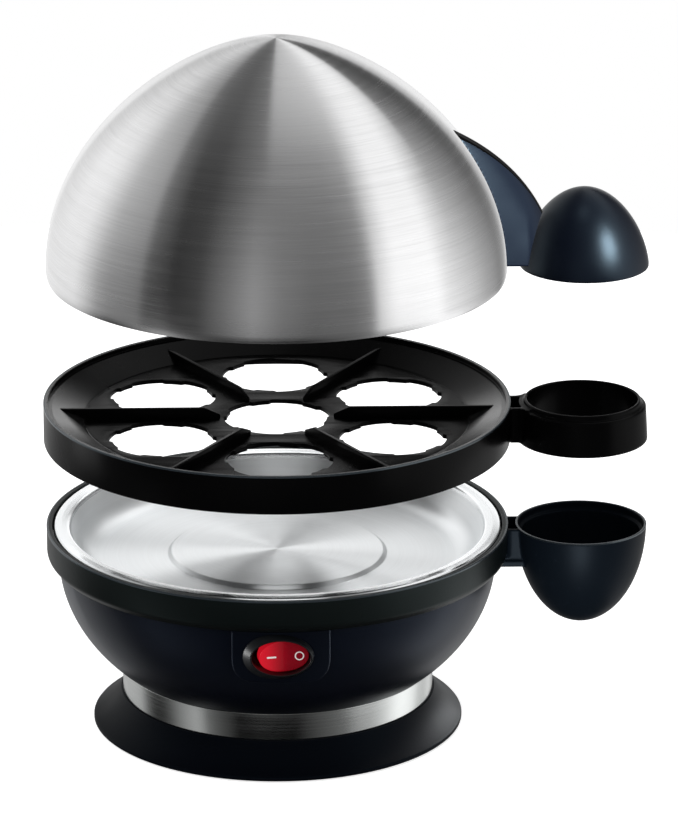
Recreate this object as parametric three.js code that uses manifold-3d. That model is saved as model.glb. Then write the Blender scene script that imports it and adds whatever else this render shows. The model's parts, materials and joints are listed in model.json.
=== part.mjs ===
// An electric egg cooker for seven eggs, shown with its lid and egg tray lifted off the base.
// Millimetres, +Z up. The origin is on the cooker's axis, on the surface that it stands on.
// The handle side is +X and the switch faces -Y.
import * as THREE from 'three';
import { mergeVertices } from 'three/addons/utils/BufferGeometryUtils.js';
import Module from 'manifold-3d';

const wasm = await Module();
wasm.setup();

// ---------------------------------------------------------------- driving dimensions

// Fits and facets
const fitGap = 0.3;
const turnSteps = 36;
const smallSteps = 16;
const cupSteps = 28;
const pinSteps = 8;
const ovalSteps = 9;
const holeSlack = 0.3;
const past = 1; // how far a cutter runs past what it cuts

// Body and how far the loose parts are lifted
const bodyRadius = 88;
const rimHeight = 79.1;
const trayLift = 34;
const lidLift = 52;
const plasticWall = 2.2;

// Foot
const standHeight = 1.2;
const coverThickness = 3;
const skirtFlareWidth = 12.3;
const skirtTop = 12.7;
const skirtWall = 1.5;
const skirtLip = 1.4;
const skirtLipClearance = 0.6;
const skirtShoulderWidth = 0.7;
const neckStep = 1.5;
const neckBottom = 9;
const flangeThickness = 2;
const bandThickness = 0.7;
const bandHeight = 10.4;
const coverInset = 4.8;
const padClearance = 1;
const padRadius = 18;
const footRadius = 6.5;
const footInset = 4.7;
const footEdge = 0.6;
const footHeight = 2.4;
const footCount = 4;
const screwInset = 4.5;
const screwShank = 1.5;
const screwHead = 3;
const screwHeadHeight = 1.6;
const coverScrewLength = 9;
const ventSlots = 5;
const slotWidth = 2;
const slotPitch = 6;
const slotLength = 16;
const slotGap = 5;

// Bowl and collar
const collarOverhang = 4.5;
const bowlLow = 5; // where the bowl's curve would end if the foot didn't cut it off
const bowlTuck = 0.4;
const collarHeight = 13;
const collarWall = 2.1;
const collarLedgeDepth = 4.9;
const collarLedgeThickness = 2.2;
const collarLedgeWidth = 5.4;

// Cup, ring and knob at the end of the handle
const cupGap = 3;
const cupRadius = 25;
const cupDepth = 39;
const cupWall = 1.6;
const cupStep = 3;
const cupDrop = 1.4; // how far the cup's rim and the arm's top lie below the body's rim
const armWidth = 16;
const armHeight = 14.9;
const armWall = 1.8;
const armFloorDepth = 5;

// Egg tray
const trayOverhang = 0.6;
const trayWall = 1.7;
const trayHeight = 14.8;
const traySeatDepth = 1.7;
const traySeatWidth = 1.5;
const trayPlateDepth = 6.8;
const traySlopeWidth = 12;
const trayPlateThickness = 1.6;
const eggHoleRadius = 19.7;
const eggHoleEdge = 3.7;
const eggTeeth = 6;
const eggToothDepth = 1.2;
const ribThickness = 1.7;
const ribGap = 1.8;
const ringFlare = 0.8;
const ringWall = 3.2;
const ringDip = 0.6; // how far the ring's shoulder lies below the tray's seat
const ringLipHeight = 2;
const ringLipWall = 1.5;

// Lid
const lidPlay = 0.9;
const lidTuck = 1;
const lidTuckHeight = 3.2;
const lidHeight = 88.4;
const lidWall = 0.8;
const lidHem = 1.3;
const ventRadius = 2.2;
const ventHeight = 60;
const knobInset = 0.5;
const knobLift = 2.4;
const knobHeight = 30.1;
const knobWall = 1.8;
const finFootWidth = 22;
const finRise = 56;
const finFloor = 4.9;
const finShoulder = 11;
const finRoundStart = 22; // from here to the cup's axis, the fin's sides begin to close
const finRoundLength = 8;
const handleScrewLength = 6;

// Water pan and heater
const panSheet = 0.8;
const panRimWidth = 5.8;
const panDepth = 12.5;
const panDraft = 6.5;
const panCorner = 5;
const panFloorWidth = 32.6;
const panDiscRise = 1.5;
const sealHeight = 1.2;
const heaterPlateThickness = 2;
const elementRadius = 3.2;
const elementInset = 12;
const studRadius = 2;
const studGap = 7;
const studLength = 25;
const shieldMargin = 5;
const shieldSheet = 0.8;
const shieldDrop = 13;
const shieldRim = 5;
const nutHeight = 3;
const nutWidth = 7;
const bridgeWidth = 14;
const bridgeSheet = 1.4;
const bridgeOverhang = 15;
const bridgeEnd = 5;

// Thermostat and fuse
const thermostatRadius = 8;
const thermostatHeight = 7;
const fuseRadius = 2;
const fuseLength = 12;
const fuseOffset = 14;
const clipSheet = 0.7;
const clipWidth = 6;

// Switch
const switchDrop = 10.1;
const panelWidth = 36.8;
const panelDrop = 10.4;
const panelCorner = 9;
const panelProud = 0.9;
const rockerHalfWidth = 9.75;
const rockerHalfHeight = 6.3;
const rockerPlay = 1.25;
const rockerTilt = 10;
const rockerRise = 6.6;
const rockerDip = 1.6;
const pivotDepth = 5.8;
const bezelLip = 1.7;
const bezelWall = 0.9;
const bezelFlange = 1.5;
const bezelFlangeDepth = 1.2;
const sleeveDepth = 3.8;
const switchBodyDepth = 17;
const terminalWidth = 4.8;
const terminalSheet = 0.8;
const terminalLength = 8;
const terminalPitch = 7;

// Cord entry and wiring
const glandRadius = 4.5;
const glandFlange = 1.8;
const glandHeight = 38;
const glandSheet = 2;
const glandInset = 13;
const glandPocket = 16;
const glandBossRadius = 8.5;
const glandBossLength = 9;
const cordHoleRadius = 3.4;
const clampSpread = 8;
const clampInset = 7;
const clampEnds = 7;
const clampDrop = 4;
const clampThickness = 3.2;
const clampDepth = 6.4;
const wireRadius = 1;
const blockWidth = 26;
const blockDepth = 10;
const blockHeight = 9;
const blockInset = 14;

// ---------------------------------------------------------------- finishes

const finish = (color, roughness, metalness) =>
  new THREE.MeshStandardMaterial({ color, roughness, metalness });
const brushedSteel = finish(0xb9babb, 0.32, 1);
const panSteel = finish(0xc6c8c8, 0.25, 1);
const plainSteel = finish(0x9a9c9e, 0.4, 1);
const satinBlack = finish(0x10151a, 0.42, 0);
const navyBlack = finish(0x0b0e18, 0.3, 0);
const trayBlack = finish(0x0c0c0d, 0.38, 0);
const softBlack = finish(0x17181a, 0.8, 0);
const redGloss = finish(0xa8061c, 0.18, 0);
const brass = finish(0xb08d4a, 0.4, 1);
const aluminium = finish(0xa8abae, 0.5, 1);
const whitePlastic = finish(0xdedbd2, 0.5, 0);
const lampGlass = finish(0xf0a070, 0.1, 0);

// ---------------------------------------------------------------- making solids

const at = (radius, height) => new THREE.Vector2(radius, height);

// One welded skin, without slivers, with its faces pointing out
function weld(geometry) {
  const bare = new THREE.BufferGeometry();
  bare.setAttribute('position', geometry.getAttribute('position'));
  bare.setIndex(geometry.index);
  const welded = mergeVertices(bare, 1e-4);
  const corner = welded.getAttribute('position');
  const source = welded.index.array;
  const faces = [];
  let volume = 0;
  const a = new THREE.Vector3();
  const b = new THREE.Vector3();
  const c = new THREE.Vector3();
  for (let i = 0; i < source.length; i += 3) {
    const [i0, i1, i2] = [source[i], source[i + 1], source[i + 2]];
    if (i0 === i1 || i1 === i2 || i2 === i0) continue;
    faces.push([i0, i1, i2]);
    a.fromBufferAttribute(corner, i0);
    b.fromBufferAttribute(corner, i1);
    c.fromBufferAttribute(corner, i2);
    volume += a.dot(b.cross(c));
  }
  const order = volume > 0 ? [0, 1, 2] : [0, 2, 1];
  welded.setIndex(faces.flatMap((face) => order.map((k) => face[k])));
  return welded;
}

function solidOf(geometry) {
  const skin = weld(geometry);
  return new wasm.Manifold(new wasm.Mesh({
    numProp: 3,
    vertProperties: Float32Array.from(skin.getAttribute('position').array),
    triVerts: Uint32Array.from(skin.index.array),
  }));
}

function geometryOf(solid) {
  const mesh = solid.getMesh();
  const geometry = new THREE.BufferGeometry();
  geometry.setAttribute('position', new THREE.BufferAttribute(mesh.vertProperties, 3));
  geometry.setIndex(new THREE.BufferAttribute(mesh.triVerts, 1));
  geometry.computeVertexNormals();
  return geometry;
}

// A closed profile of radii and heights, turned about Z
function turned(profile, steps = turnSteps) {
  const first = profile[0];
  const last = profile[profile.length - 1];
  const onAxis = first.x === 0 && last.x === 0;
  const loop = onAxis ? profile : [...profile, first.clone()];
  return new THREE.LatheGeometry(loop, steps).rotateX(Math.PI / 2);
}

// A drum standing on height z
function drum(radius, z, height, steps = smallSteps) {
  return new THREE.CylinderGeometry(radius, radius, height, steps)
    .rotateX(Math.PI / 2)
    .translate(0, 0, z + height / 2);
}

// A box by its middle in x and y, its bottom and its size
function block(x, y, z, width, depth, height) {
  return new THREE.BoxGeometry(width, depth, height).translate(x, y, z + height / 2);
}

// A flat outline in x and y, raised from z
function slab(shape, z, height, curveSegments = 8) {
  return new THREE.ExtrudeGeometry(shape, { depth: height, bevelEnabled: false, curveSegments })
    .translate(0, 0, z);
}

// An outline drawn in x and z, given a width along Y about the middle
function upright(shape, width, curveSegments = 10) {
  return new THREE.ExtrudeGeometry(shape, { depth: width, bevelEnabled: false, curveSegments })
    .rotateX(Math.PI / 2)
    .translate(0, width / 2, 0);
}

// An outline drawn in x and z, run along Y from one face to the other
function along(shape, fromY, toY, curveSegments = 12) {
  return new THREE.ExtrudeGeometry(shape, { depth: toY - fromY, bevelEnabled: false, curveSegments })
    .rotateX(Math.PI / 2)
    .translate(0, toY, 0);
}

// A round tube through points
function tube(points, radius, steps, quarterSides = 2) {
  const path = new THREE.CatmullRomCurve3(points.map((p) => new THREE.Vector3(...p)), false, 'centripetal');
  const section = new THREE.Shape();
  section.absarc(0, 0, radius, 0, 2 * Math.PI);
  return new THREE.ExtrudeGeometry(section, {
    extrudePath: path,
    steps,
    curveSegments: 2 * quarterSides,
    bevelEnabled: false,
  });
}

// A skin run through rings of equally many points, closed flat at both ends
function loft(rings) {
  const count = rings[0].length;
  const last = (rings.length - 1) * count;
  const faces = [];
  for (let start = 0; start < last; start += count) {
    for (let k = 0; k < count; k += 1) {
      const [a, b] = [start + k, start + (k + 1) % count];
      faces.push(a, b, b + count, a, b + count, a + count);
    }
  }
  for (let k = 2; k < count; k += 1) {
    faces.push(0, k, k - 1, last, last + k - 1, last + k);
  }
  const skin = new THREE.BufferGeometry();
  skin.setAttribute('position', new THREE.Float32BufferAttribute(rings.flat(2), 3));
  skin.setIndex(faces);
  return skin;
}

function ovalShape(halfWidth, halfHeight, centreZ = 0) {
  const shape = new THREE.Shape();
  shape.absellipse(0, centreZ, halfWidth, halfHeight, 0, 2 * Math.PI);
  return shape;
}

function roundAbout(count, firstAngle = 0) {
  return Array.from({ length: count }, (_, i) => firstAngle + (i * 2 * Math.PI) / count);
}

const cylinderSolid = (radius, z, height, x = 0, y = 0, steps = pinSteps) =>
  solidOf(drum(radius, z, height, steps).translate(x, y, 0));

const egg = new THREE.Group();
egg.name = 'egg_cooker';
const baseGroup = new THREE.Group();
const trayGroup = new THREE.Group();
const lidGroup = new THREE.Group();
egg.add(baseGroup, trayGroup, lidGroup);

function place(parent, name, shape, material) {
  const geometry = shape.isBufferGeometry ? weld(shape) : geometryOf(shape);
  const mesh = new THREE.Mesh(geometry, material);
  mesh.name = name;
  parent.add(mesh);
  return mesh;
}

// ---------------------------------------------------------------- rounded forms

// Points of a half egg from its edge to its tip: blunt and round exponents shape the sides and the tip
function eggCurve(radius, height, sidePower, tipPower, steps) {
  const points = [];
  for (let i = 0; i <= steps; i += 1) {
    const t = (i / steps) * (Math.PI / 2);
    const r = i === steps ? 0 : radius * Math.cos(t) ** (2 / tipPower);
    points.push(at(r, height * Math.sin(t) ** (2 / sidePower)));
  }
  return points;
}

const lidSidePower = 1.976;
const lidTipPower = 1.609;
const knobSidePower = 1.57;
const knobTipPower = 1.95;

// ---------------------------------------------------------------- heights and radii of the body

const handleReach = bodyRadius + cupGap + cupRadius;
const collarBottom = rimHeight - collarHeight;
const bandBottom = skirtTop + fitGap;
const bandTop = bandBottom + bandHeight;
const bowlFloor = bandTop + fitGap;
const bowlCentre = collarBottom + bowlTuck;
const bowlDepth = bowlCentre - bowlLow;
const bowlRadius = bodyRadius - collarOverhang;
const bowlFoot = bowlRadius * Math.sqrt(1 - ((bowlCentre - bowlFloor) / bowlDepth) ** 2);
const neckRadius = bowlFoot - neckStep;
const skirtRadius = neckRadius + skirtFlareWidth;

// ---------------------------------------------------------------- foot

const coverTop = standHeight + coverThickness;
const coverRadius = skirtRadius - coverInset;
const bandRadius = neckRadius + fitGap + bandThickness;
const flangeTop = neckBottom - fitGap;
const footSpread = coverRadius - footRadius - footInset;
const coverScrewRadius = neckRadius - plasticWall - screwInset;
const screwAngles = roundAbout(4, Math.PI / 4);

const skirtShoulder = bandRadius + skirtShoulderWidth;
const skirtFlare = new THREE.QuadraticBezierCurve(
  at(skirtShoulder, skirtTop),
  at(skirtShoulder + 0.35 * (skirtRadius - skirtShoulder), 0.42 * skirtTop),
  at(skirtRadius, skirtLipClearance + skirtLip),
);
const skirtOutside = skirtFlare.getPoints(4);
const skirtInside = skirtOutside.map((p) => at(p.x - 1.3 * skirtWall, p.y - 0.3 * skirtWall)).reverse();
const skirtBore = neckRadius + fitGap;
const skirt = solidOf(turned([
  at(skirtBore, skirtTop),
  ...skirtOutside,
  at(skirtRadius, skirtLipClearance),
  at(skirtRadius - skirtWall, skirtLipClearance),
  ...skirtInside.filter((p) => p.x > skirtBore + skirtWall && p.y > standHeight),
  at(skirtBore + skirtWall, flangeTop),
  at(skirtBore + skirtWall, flangeTop - flangeThickness),
  at(neckRadius - plasticWall, flangeTop - flangeThickness),
  at(neckRadius - plasticWall, flangeTop),
  at(skirtBore, flangeTop),
]));
const coverPocket = cylinderSolid(coverRadius + fitGap, -past, coverTop + fitGap + past, 0, 0, turnSteps);
place(baseGroup, 'foot_skirt', skirt.subtract(coverPocket), navyBlack);

const band = turned([
  at(bandRadius, bandBottom),
  at(bandRadius, bandTop),
  at(bandRadius - bandThickness, bandTop),
  at(bandRadius - bandThickness, bandBottom),
]);
place(baseGroup, 'steel_band', band, brushedSteel);

const upstandTop = flangeTop - flangeThickness - fitGap;
const upstandOuter = skirtBore + skirtWall - fitGap;
const upstandInner = neckRadius - plasticWall;
let bottomCover = solidOf(turned([
  at(0, standHeight),
  at(coverRadius, standHeight),
  at(coverRadius, coverTop),
  at(upstandOuter, coverTop),
  at(upstandOuter, upstandTop),
  at(upstandInner, upstandTop),
  at(upstandInner, coverTop),
  at(0, coverTop),
]));
bottomCover = bottomCover.add(cylinderSolid(padRadius, padClearance, coverThickness, 0, 0, turnSteps));
const footRecess = footHeight + fitGap - standHeight;
for (const angle of roundAbout(footCount, 0)) {
  const x = footSpread * Math.cos(angle);
  const y = footSpread * Math.sin(angle);
  bottomCover = bottomCover.subtract(
    cylinderSolid(footRadius + fitGap, 0, standHeight + footRecess, x, y, smallSteps),
  );
}
for (const angle of screwAngles) {
  const x = coverScrewRadius * Math.cos(angle);
  const y = coverScrewRadius * Math.sin(angle);
  bottomCover = bottomCover
    .subtract(cylinderSolid(screwShank + holeSlack, 0, 2 * coverTop, x, y))
    .subtract(cylinderSolid(screwHead + holeSlack, 0, standHeight + screwHeadHeight, x, y));
}
for (let i = 0; i < ventSlots; i += 1) {
  const x = (i - (ventSlots - 1) / 2) * slotPitch;
  for (const side of [-1, 1]) {
    const y = side * (padRadius + slotGap + slotLength / 2);
    bottomCover = bottomCover.subtract(solidOf(block(x, y, 0, slotWidth, slotLength, 2 * coverTop)));
  }
}
place(baseGroup, 'bottom_cover', bottomCover, softBlack);

const footNames = ['right', 'back', 'left', 'front'];
roundAbout(footCount, 0).forEach((angle, i) => {
  const foot = place(baseGroup, `rubber_foot_${footNames[i]}`, turned([
    at(0, 0),
    at(footRadius - footEdge, 0),
    at(footRadius, footEdge),
    at(footRadius, footHeight),
    at(0, footHeight),
  ], smallSteps), softBlack);
  foot.position.set(footSpread * Math.cos(angle), footSpread * Math.sin(angle), 0);
});

// A screw that points up: head below, with a short slot in it
function screw(shank, length, head, headHeight) {
  const body = solidOf(turned([
    at(0, 0),
    at(head - 0.4, 0),
    at(head, 0.4),
    at(head, headHeight),
    at(shank, headHeight),
    at(shank, headHeight + length - 1),
    at(0.5 * shank, headHeight + length),
    at(0, headHeight + length),
  ], pinSteps));
  const slot = 0.28 * head;
  const depth = 0.55 * headHeight;
  return body.subtract(solidOf(block(0, 0, -1, 1.4 * head, slot, 1 + depth)));
}

screwAngles.forEach((angle, i) => {
  const piece = place(baseGroup, `cover_screw_${i + 1}`,
    screw(screwShank, coverScrewLength, screwHead, screwHeadHeight - fitGap), plainSteel);
  piece.position.set(
    coverScrewRadius * Math.cos(angle),
    coverScrewRadius * Math.sin(angle),
    standHeight,
  );
});

// ---------------------------------------------------------------- bowl

const ledgeTop = rimHeight - collarLedgeDepth;
const ledgeBottom = ledgeTop - collarLedgeThickness;
const bowlTop = ledgeBottom - fitGap;
const collarInner = bodyRadius - collarWall;
const panRimOuter = collarInner - 2 * fitGap;
const panRimInner = panRimOuter - panRimWidth;
const panWallFoot = panRimInner - panDraft;
const panDiscRadius = panWallFoot - panFloorWidth;

function bowlArc(radius, depth, lowest, steps) {
  const lowestAngle = Math.asin((bowlCentre - lowest) / depth);
  const points = [];
  for (let i = 0; i <= steps; i += 1) {
    const t = lowestAngle * (1 - i / steps);
    points.push(at(radius * Math.cos(t), bowlCentre - depth * Math.sin(t)));
  }
  return points;
}
const bowlOutside = bowlArc(bowlRadius, bowlDepth, bowlFloor, 8);
const bowlInside = bowlArc(bowlRadius - plasticWall, bowlDepth - plasticWall, bowlFloor + plasticWall, 6);
const bowlOuterSolid = solidOf(turned([
  at(0, neckBottom),
  at(neckRadius, neckBottom),
  at(neckRadius, bowlFloor),
  ...bowlOutside,
  at(bowlRadius, bowlTop),
  at(0, bowlTop),
]));
const bowlInnerSolid = solidOf(turned([
  at(0, neckBottom - past),
  at(neckRadius - plasticWall, neckBottom - past),
  at(neckRadius - plasticWall, bowlFloor + plasticWall),
  ...bowlInside,
  at(bowlRadius - plasticWall, bowlTop + past),
  at(0, bowlTop + past),
]));

// Bosses for the cover screws, posts for the bridge and for the cord clamp
const bossRadius = 3.6;
const bossTop = 17;
const bossBottom = coverTop + fitGap;
const panFloorTop = rimHeight - panDepth;
const panUnderside = panFloorTop - panSheet;
const shieldTop = panUnderside - shieldDrop;
const shieldNutTop = shieldTop - shieldSheet - fitGap;
const bridgeTop = shieldNutTop - nutHeight - fitGap;
const bridgeBottom = bridgeTop - bridgeSheet;
const postRadius = 4;
const postTop = bridgeBottom - fitGap;
const clampHeight = glandHeight - clampDrop;
const clampPostTop = clampHeight - fitGap;
const studReach = panDiscRadius + studGap;
const shieldRadius = studReach + shieldMargin;
const bridgeReach = studReach + bridgeOverhang;
const bossFace = bodyRadius - glandInset;
const glandInnerFace = bossFace - glandBossLength;
const clampReach = glandInnerFace - clampInset;
const pilotDepth = 10;
const clampShank = 1.2;
const clampPilotDepth = 6;

let bowl = bowlOuterSolid.subtract(bowlInnerSolid);
const bossWeb = 1.6;
for (const angle of screwAngles) {
  const boss = solidOf(drum(bossRadius, bossBottom, bossTop - bossBottom, pinSteps));
  const web = solidOf(block(bossRadius, 0, neckBottom, 2 * bossRadius, bossWeb, bossTop - neckBottom));
  const turn = [0, 0, (angle * 180) / Math.PI];
  const shift = [coverScrewRadius * Math.cos(angle), coverScrewRadius * Math.sin(angle), 0];
  const free = cylinderSolid(neckRadius - plasticWall / 2, 0, 2 * bossTop, 0, 0, turnSteps);
  bowl = bowl.add(boss.add(web).rotate(turn).translate(shift).intersect(free));
  const drillTop = standHeight + screwHeadHeight + coverScrewLength + past;
  bowl = bowl.subtract(cylinderSolid(screwShank + holeSlack, 0, drillTop, shift[0], shift[1]));
}
for (const side of [-1, 1]) {
  const post = cylinderSolid(postRadius, bandTop, postTop - bandTop, side * bridgeReach, 0);
  const clampX = side * clampSpread;
  const clampPost = cylinderSolid(0.8 * postRadius, bandTop, clampPostTop - bandTop, clampX, clampReach);
  const pilot = cylinderSolid(
    screwShank + holeSlack, postTop - pilotDepth, pilotDepth + past, side * bridgeReach, 0,
  );
  const clampPilot = cylinderSolid(
    clampShank + holeSlack, clampPostTop - clampPilotDepth, clampPilotDepth + past, clampX, clampReach,
  );
  bowl = bowl
    .add(post.intersect(bowlOuterSolid))
    .add(clampPost.intersect(bowlOuterSolid))
    .subtract(pilot)
    .subtract(clampPilot);
}

// Cord entry at the back: a round boss on the bowl with the hole for the gland
const glandDrum = (radius, fromY, toY, steps = smallSteps) =>
  solidOf(new THREE.CylinderGeometry(radius, radius, toY - fromY, steps)
    .translate(0, (fromY + toY) / 2, glandHeight));
bowl = bowl
  .add(glandDrum(glandBossRadius, glandInnerFace, bossFace))
  .subtract(glandDrum(glandRadius + fitGap, glandInnerFace - glandPocket, bossFace + glandPocket))
  .subtract(glandDrum(glandRadius + glandFlange + fitGap, glandInnerFace - glandPocket, glandInnerFace))
  .subtract(glandDrum(glandRadius + glandFlange + fitGap, bossFace, bossFace + glandPocket));

// ---------------------------------------------------------------- switch opening

const switchHeight = collarBottom - switchDrop;
const panelRadius = bowlRadius + panelProud;
const openWidth = rockerHalfWidth + rockerPlay;
const openHeight = rockerHalfHeight + 1.5 * fitGap;
const sleeveWidth = openWidth + bezelWall;
const sleeveHeight = openHeight + bezelWall;
const panelFace = -panelRadius;
const panelTop = collarBottom - fitGap;
const panelBottom = switchHeight - panelDrop;

const switchHole = (slack) => solidOf(along(
  ovalShape(sleeveWidth + slack, sleeveHeight + slack, switchHeight),
  -bodyRadius, -0.7 * bowlRadius, ovalSteps,
));

bowl = bowl.subtract(switchHole(fitGap));
place(baseGroup, 'bowl', bowl, navyBlack);

// Panel that carries the switch: a shield shape, curved like the collar, lying against the bowl
const panelOutline = new THREE.Shape();
panelOutline.moveTo(-panelWidth / 2, panelTop);
panelOutline.lineTo(-panelWidth / 2, panelBottom + panelCorner);
panelOutline.quadraticCurveTo(
  -panelWidth / 2, panelBottom, -panelWidth / 2 + panelCorner, panelBottom,
);
panelOutline.lineTo(panelWidth / 2 - panelCorner, panelBottom);
panelOutline.quadraticCurveTo(
  panelWidth / 2, panelBottom, panelWidth / 2, panelBottom + panelCorner,
);
panelOutline.lineTo(panelWidth / 2, panelTop);
panelOutline.closePath();

const bowlClear = solidOf(turned([
  at(0, neckBottom),
  at(neckRadius + fitGap, neckBottom),
  ...bowlArc(bowlRadius + fitGap, bowlDepth + fitGap, bowlFloor, 8),
  at(bowlRadius + fitGap, bowlTop),
  at(0, bowlTop),
]));
const panelDrum = cylinderSolid(
  panelRadius, panelBottom - past, panelTop - panelBottom + 2 * past, 0, 0, 2 * turnSteps,
);
const panel = solidOf(along(panelOutline, -bodyRadius, -0.8 * bowlRadius))
  .intersect(panelDrum)
  .subtract(bowlClear)
  .subtract(switchHole(fitGap));
place(baseGroup, 'switch_panel', panel, satinBlack);

// ---------------------------------------------------------------- collar, with its arm and cup

const ledgeInner = collarInner - collarLedgeWidth;
const collarBore = bowlRadius + fitGap;
const collarRing = solidOf(turned([
  at(collarBore, collarBottom),
  at(bodyRadius - 2.4, collarBottom),
  at(bodyRadius - 0.7, collarBottom + 1.2),
  at(bodyRadius, collarBottom + 3.2),
  at(bodyRadius, rimHeight - 0.8),
  at(bodyRadius - 0.5, rimHeight),
  at(collarInner, rimHeight),
  at(collarInner, ledgeTop),
  at(ledgeInner, ledgeTop),
  at(ledgeInner, ledgeBottom),
  at(collarBore, ledgeBottom),
]));

const cupStepWidth = 1.3;
const cupLip = cupWall - 0.5;
const hanging = (curve, top) => curve.map((p) => at(p.x, top - p.y)).reverse();
const cupTop = rimHeight - cupDrop;
const cupOuter = solidOf(turned([
  ...hanging(eggCurve(cupRadius, cupDepth, 2, 2, 8), cupTop),
  at(0, cupTop),
], cupSteps)).translate([handleReach, 0, 0]);
const cupInnerRadius = cupRadius - cupLip - cupStepWidth;
const cupInnerCurve = hanging(
  eggCurve(cupInnerRadius, cupDepth - cupWall - cupStep, 2, 2, 7), cupTop - cupStep,
);
const cupInner = solidOf(turned([
  ...cupInnerCurve,
  at(cupRadius - cupLip, cupTop - cupStep),
  at(cupRadius - cupLip, cupTop + past),
  at(0, cupTop + past),
], cupSteps)).translate([handleReach, 0, 0]);

// A channel that joins a ring on the axis to a smaller one at the end of the handle
function armBetween(innerRadius, top, height, floorDepth, nearSolid, farSolid) {
  const length = handleReach - innerRadius;
  const middle = innerRadius + length / 2;
  const bar = solidOf(block(middle, 0, top - height, length, armWidth, height));
  const trough = solidOf(block(
    middle, 0, top - floorDepth, length, armWidth - 2 * armWall, floorDepth + past,
  )).subtract(nearSolid).subtract(farSolid);
  return bar.subtract(trough);
}
const bodyDrum = (radius, z, height) => cylinderSolid(radius, z, height, 0, 0, turnSteps);
const collarArm = armBetween(
  bodyRadius - past, cupTop, armHeight, armFloorDepth, bodyDrum(bodyRadius, 0, 2 * rimHeight), cupOuter,
);
const collar = collarArm.add(cupOuter).subtract(cupInner).add(collarRing);
place(baseGroup, 'collar', collar, satinBlack);

// ---------------------------------------------------------------- water pan and its seal

const panRimMiddle = (panRimOuter + panRimInner) / 2;
const sealTop = ledgeTop + fitGap + sealHeight;
const panRimBottom = sealTop + fitGap;
const discTop = panFloorTop + panDiscRise;
let pan = solidOf(turned([
  at(0, discTop),
  at(panDiscRadius, discTop),
  at(panDiscRadius + panDiscRise, panFloorTop),
  at(panWallFoot - panCorner, panFloorTop),
  at(panWallFoot - 0.3 * panCorner, panFloorTop + 0.3 * panCorner),
  at(panWallFoot, panFloorTop + panCorner),
  at(panRimInner, rimHeight - 1.8),
  at(panRimInner + 1, rimHeight - 0.5),
  at(panRimMiddle, rimHeight + 0.2),
  at(panRimOuter - 1, rimHeight - 0.3),
  at(panRimOuter, rimHeight - 1.4),
  at(panRimOuter, panRimBottom),
  at(panRimOuter - panSheet, panRimBottom),
  at(panRimOuter - panSheet, rimHeight - 1.7),
  at(panRimOuter - 1 - 0.5 * panSheet, rimHeight - 0.3 - panSheet),
  at(panRimMiddle, rimHeight + 0.2 - panSheet),
  at(panRimInner + 1 + 0.5 * panSheet, rimHeight - 0.5 - panSheet),
  at(panRimInner + panSheet, rimHeight - 2),
  at(panWallFoot + panSheet, panFloorTop + panCorner - 0.3),
  at(panWallFoot - 0.3 * panCorner + 0.7 * panSheet, panFloorTop + 0.3 * panCorner - 0.7 * panSheet),
  at(panWallFoot - panCorner + 0.4 * panSheet, panUnderside),
  at(panDiscRadius + panDiscRise - 0.4 * panSheet, panUnderside),
  at(panDiscRadius - 0.4 * panSheet, discTop - panSheet),
  at(0, discTop - panSheet),
]));
for (const side of [-1, 1]) {
  pan = pan.add(cylinderSolid(studRadius, panUnderside - studLength, studLength + 0.4 * panSheet,
    side * studReach, 0));
}
place(baseGroup, 'water_pan', pan, panSteel);
place(baseGroup, 'pan_seal', turned([
  at(ledgeInner + 1, ledgeTop + fitGap),
  at(collarInner - fitGap, ledgeTop + fitGap),
  at(collarInner - fitGap, sealTop),
  at(ledgeInner + 1, sealTop),
]), whitePlastic);

// ---------------------------------------------------------------- heater under the pan

const plateTop = discTop - panSheet - fitGap;
const plateBottom = plateTop - heaterPlateThickness;
const plateRadius = panDiscRadius - 0.4 * panSheet - 2 * fitGap;
const heaterPlate = drum(plateRadius, plateBottom, heaterPlateThickness, turnSteps);
place(baseGroup, 'heater_plate', heaterPlate, aluminium);

const elementTurnRadius = panDiscRadius - elementInset;
const elementGap = 0.6;
const elementHeight = plateBottom - elementGap - elementRadius;
const elementGapAngle = 0.36;
const coldEndLength = 7;
const elementStart = Math.PI / 2 + elementGapAngle;
const elementSweep = 2 * Math.PI - 2 * elementGapAngle;
const elementEndX = elementTurnRadius * Math.sin(elementGapAngle);
const elementEndY = elementTurnRadius * Math.cos(elementGapAngle);
const elementPoints = [];
const elementTurns = 14;
for (let i = 0; i <= elementTurns; i += 1) {
  const angle = elementStart + (elementSweep * i) / elementTurns;
  elementPoints.push([
    elementTurnRadius * Math.cos(angle), elementTurnRadius * Math.sin(angle), elementHeight,
  ]);
}
const coldEndZ = elementHeight - coldEndLength;
elementPoints.unshift([-elementEndX + 0.6, elementEndY + 0.4, coldEndZ]);
elementPoints.push([elementEndX - 0.6, elementEndY + 0.4, coldEndZ]);
place(baseGroup, 'heating_element', tube(elementPoints, elementRadius, 28), plainSteel);

const clipBottom = plateBottom - fitGap;
const thermostatTop = plateBottom - fitGap;
place(baseGroup, 'thermostat',
  drum(thermostatRadius, thermostatTop - thermostatHeight, thermostatHeight), softBlack);

// A strap that goes round a part from below, with both legs up against the heater plate
function strap(y, halfSpan, bottom, width, alongX) {
  const leg = clipBottom - bottom;
  const reach = halfSpan + clipSheet / 2;
  const size = (across, run) => (alongX ? [run, across] : [across, run]);
  const [w, d] = size(width, 2 * halfSpan + 2 * clipSheet);
  const [lw, ld] = size(width, clipSheet);
  const shift = (k) => (alongX ? [k * reach, y] : [0, y + k * reach]);
  return solidOf(block(0, y, bottom, w, d, clipSheet))
    .add(solidOf(block(...shift(-1), bottom, lw, ld, leg)))
    .add(solidOf(block(...shift(1), bottom, lw, ld, leg)));
}
place(baseGroup, 'thermostat_clip', strap(
  0, thermostatRadius + fitGap, thermostatTop - thermostatHeight - fitGap - clipSheet, clipWidth, true,
), plainSteel);

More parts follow.
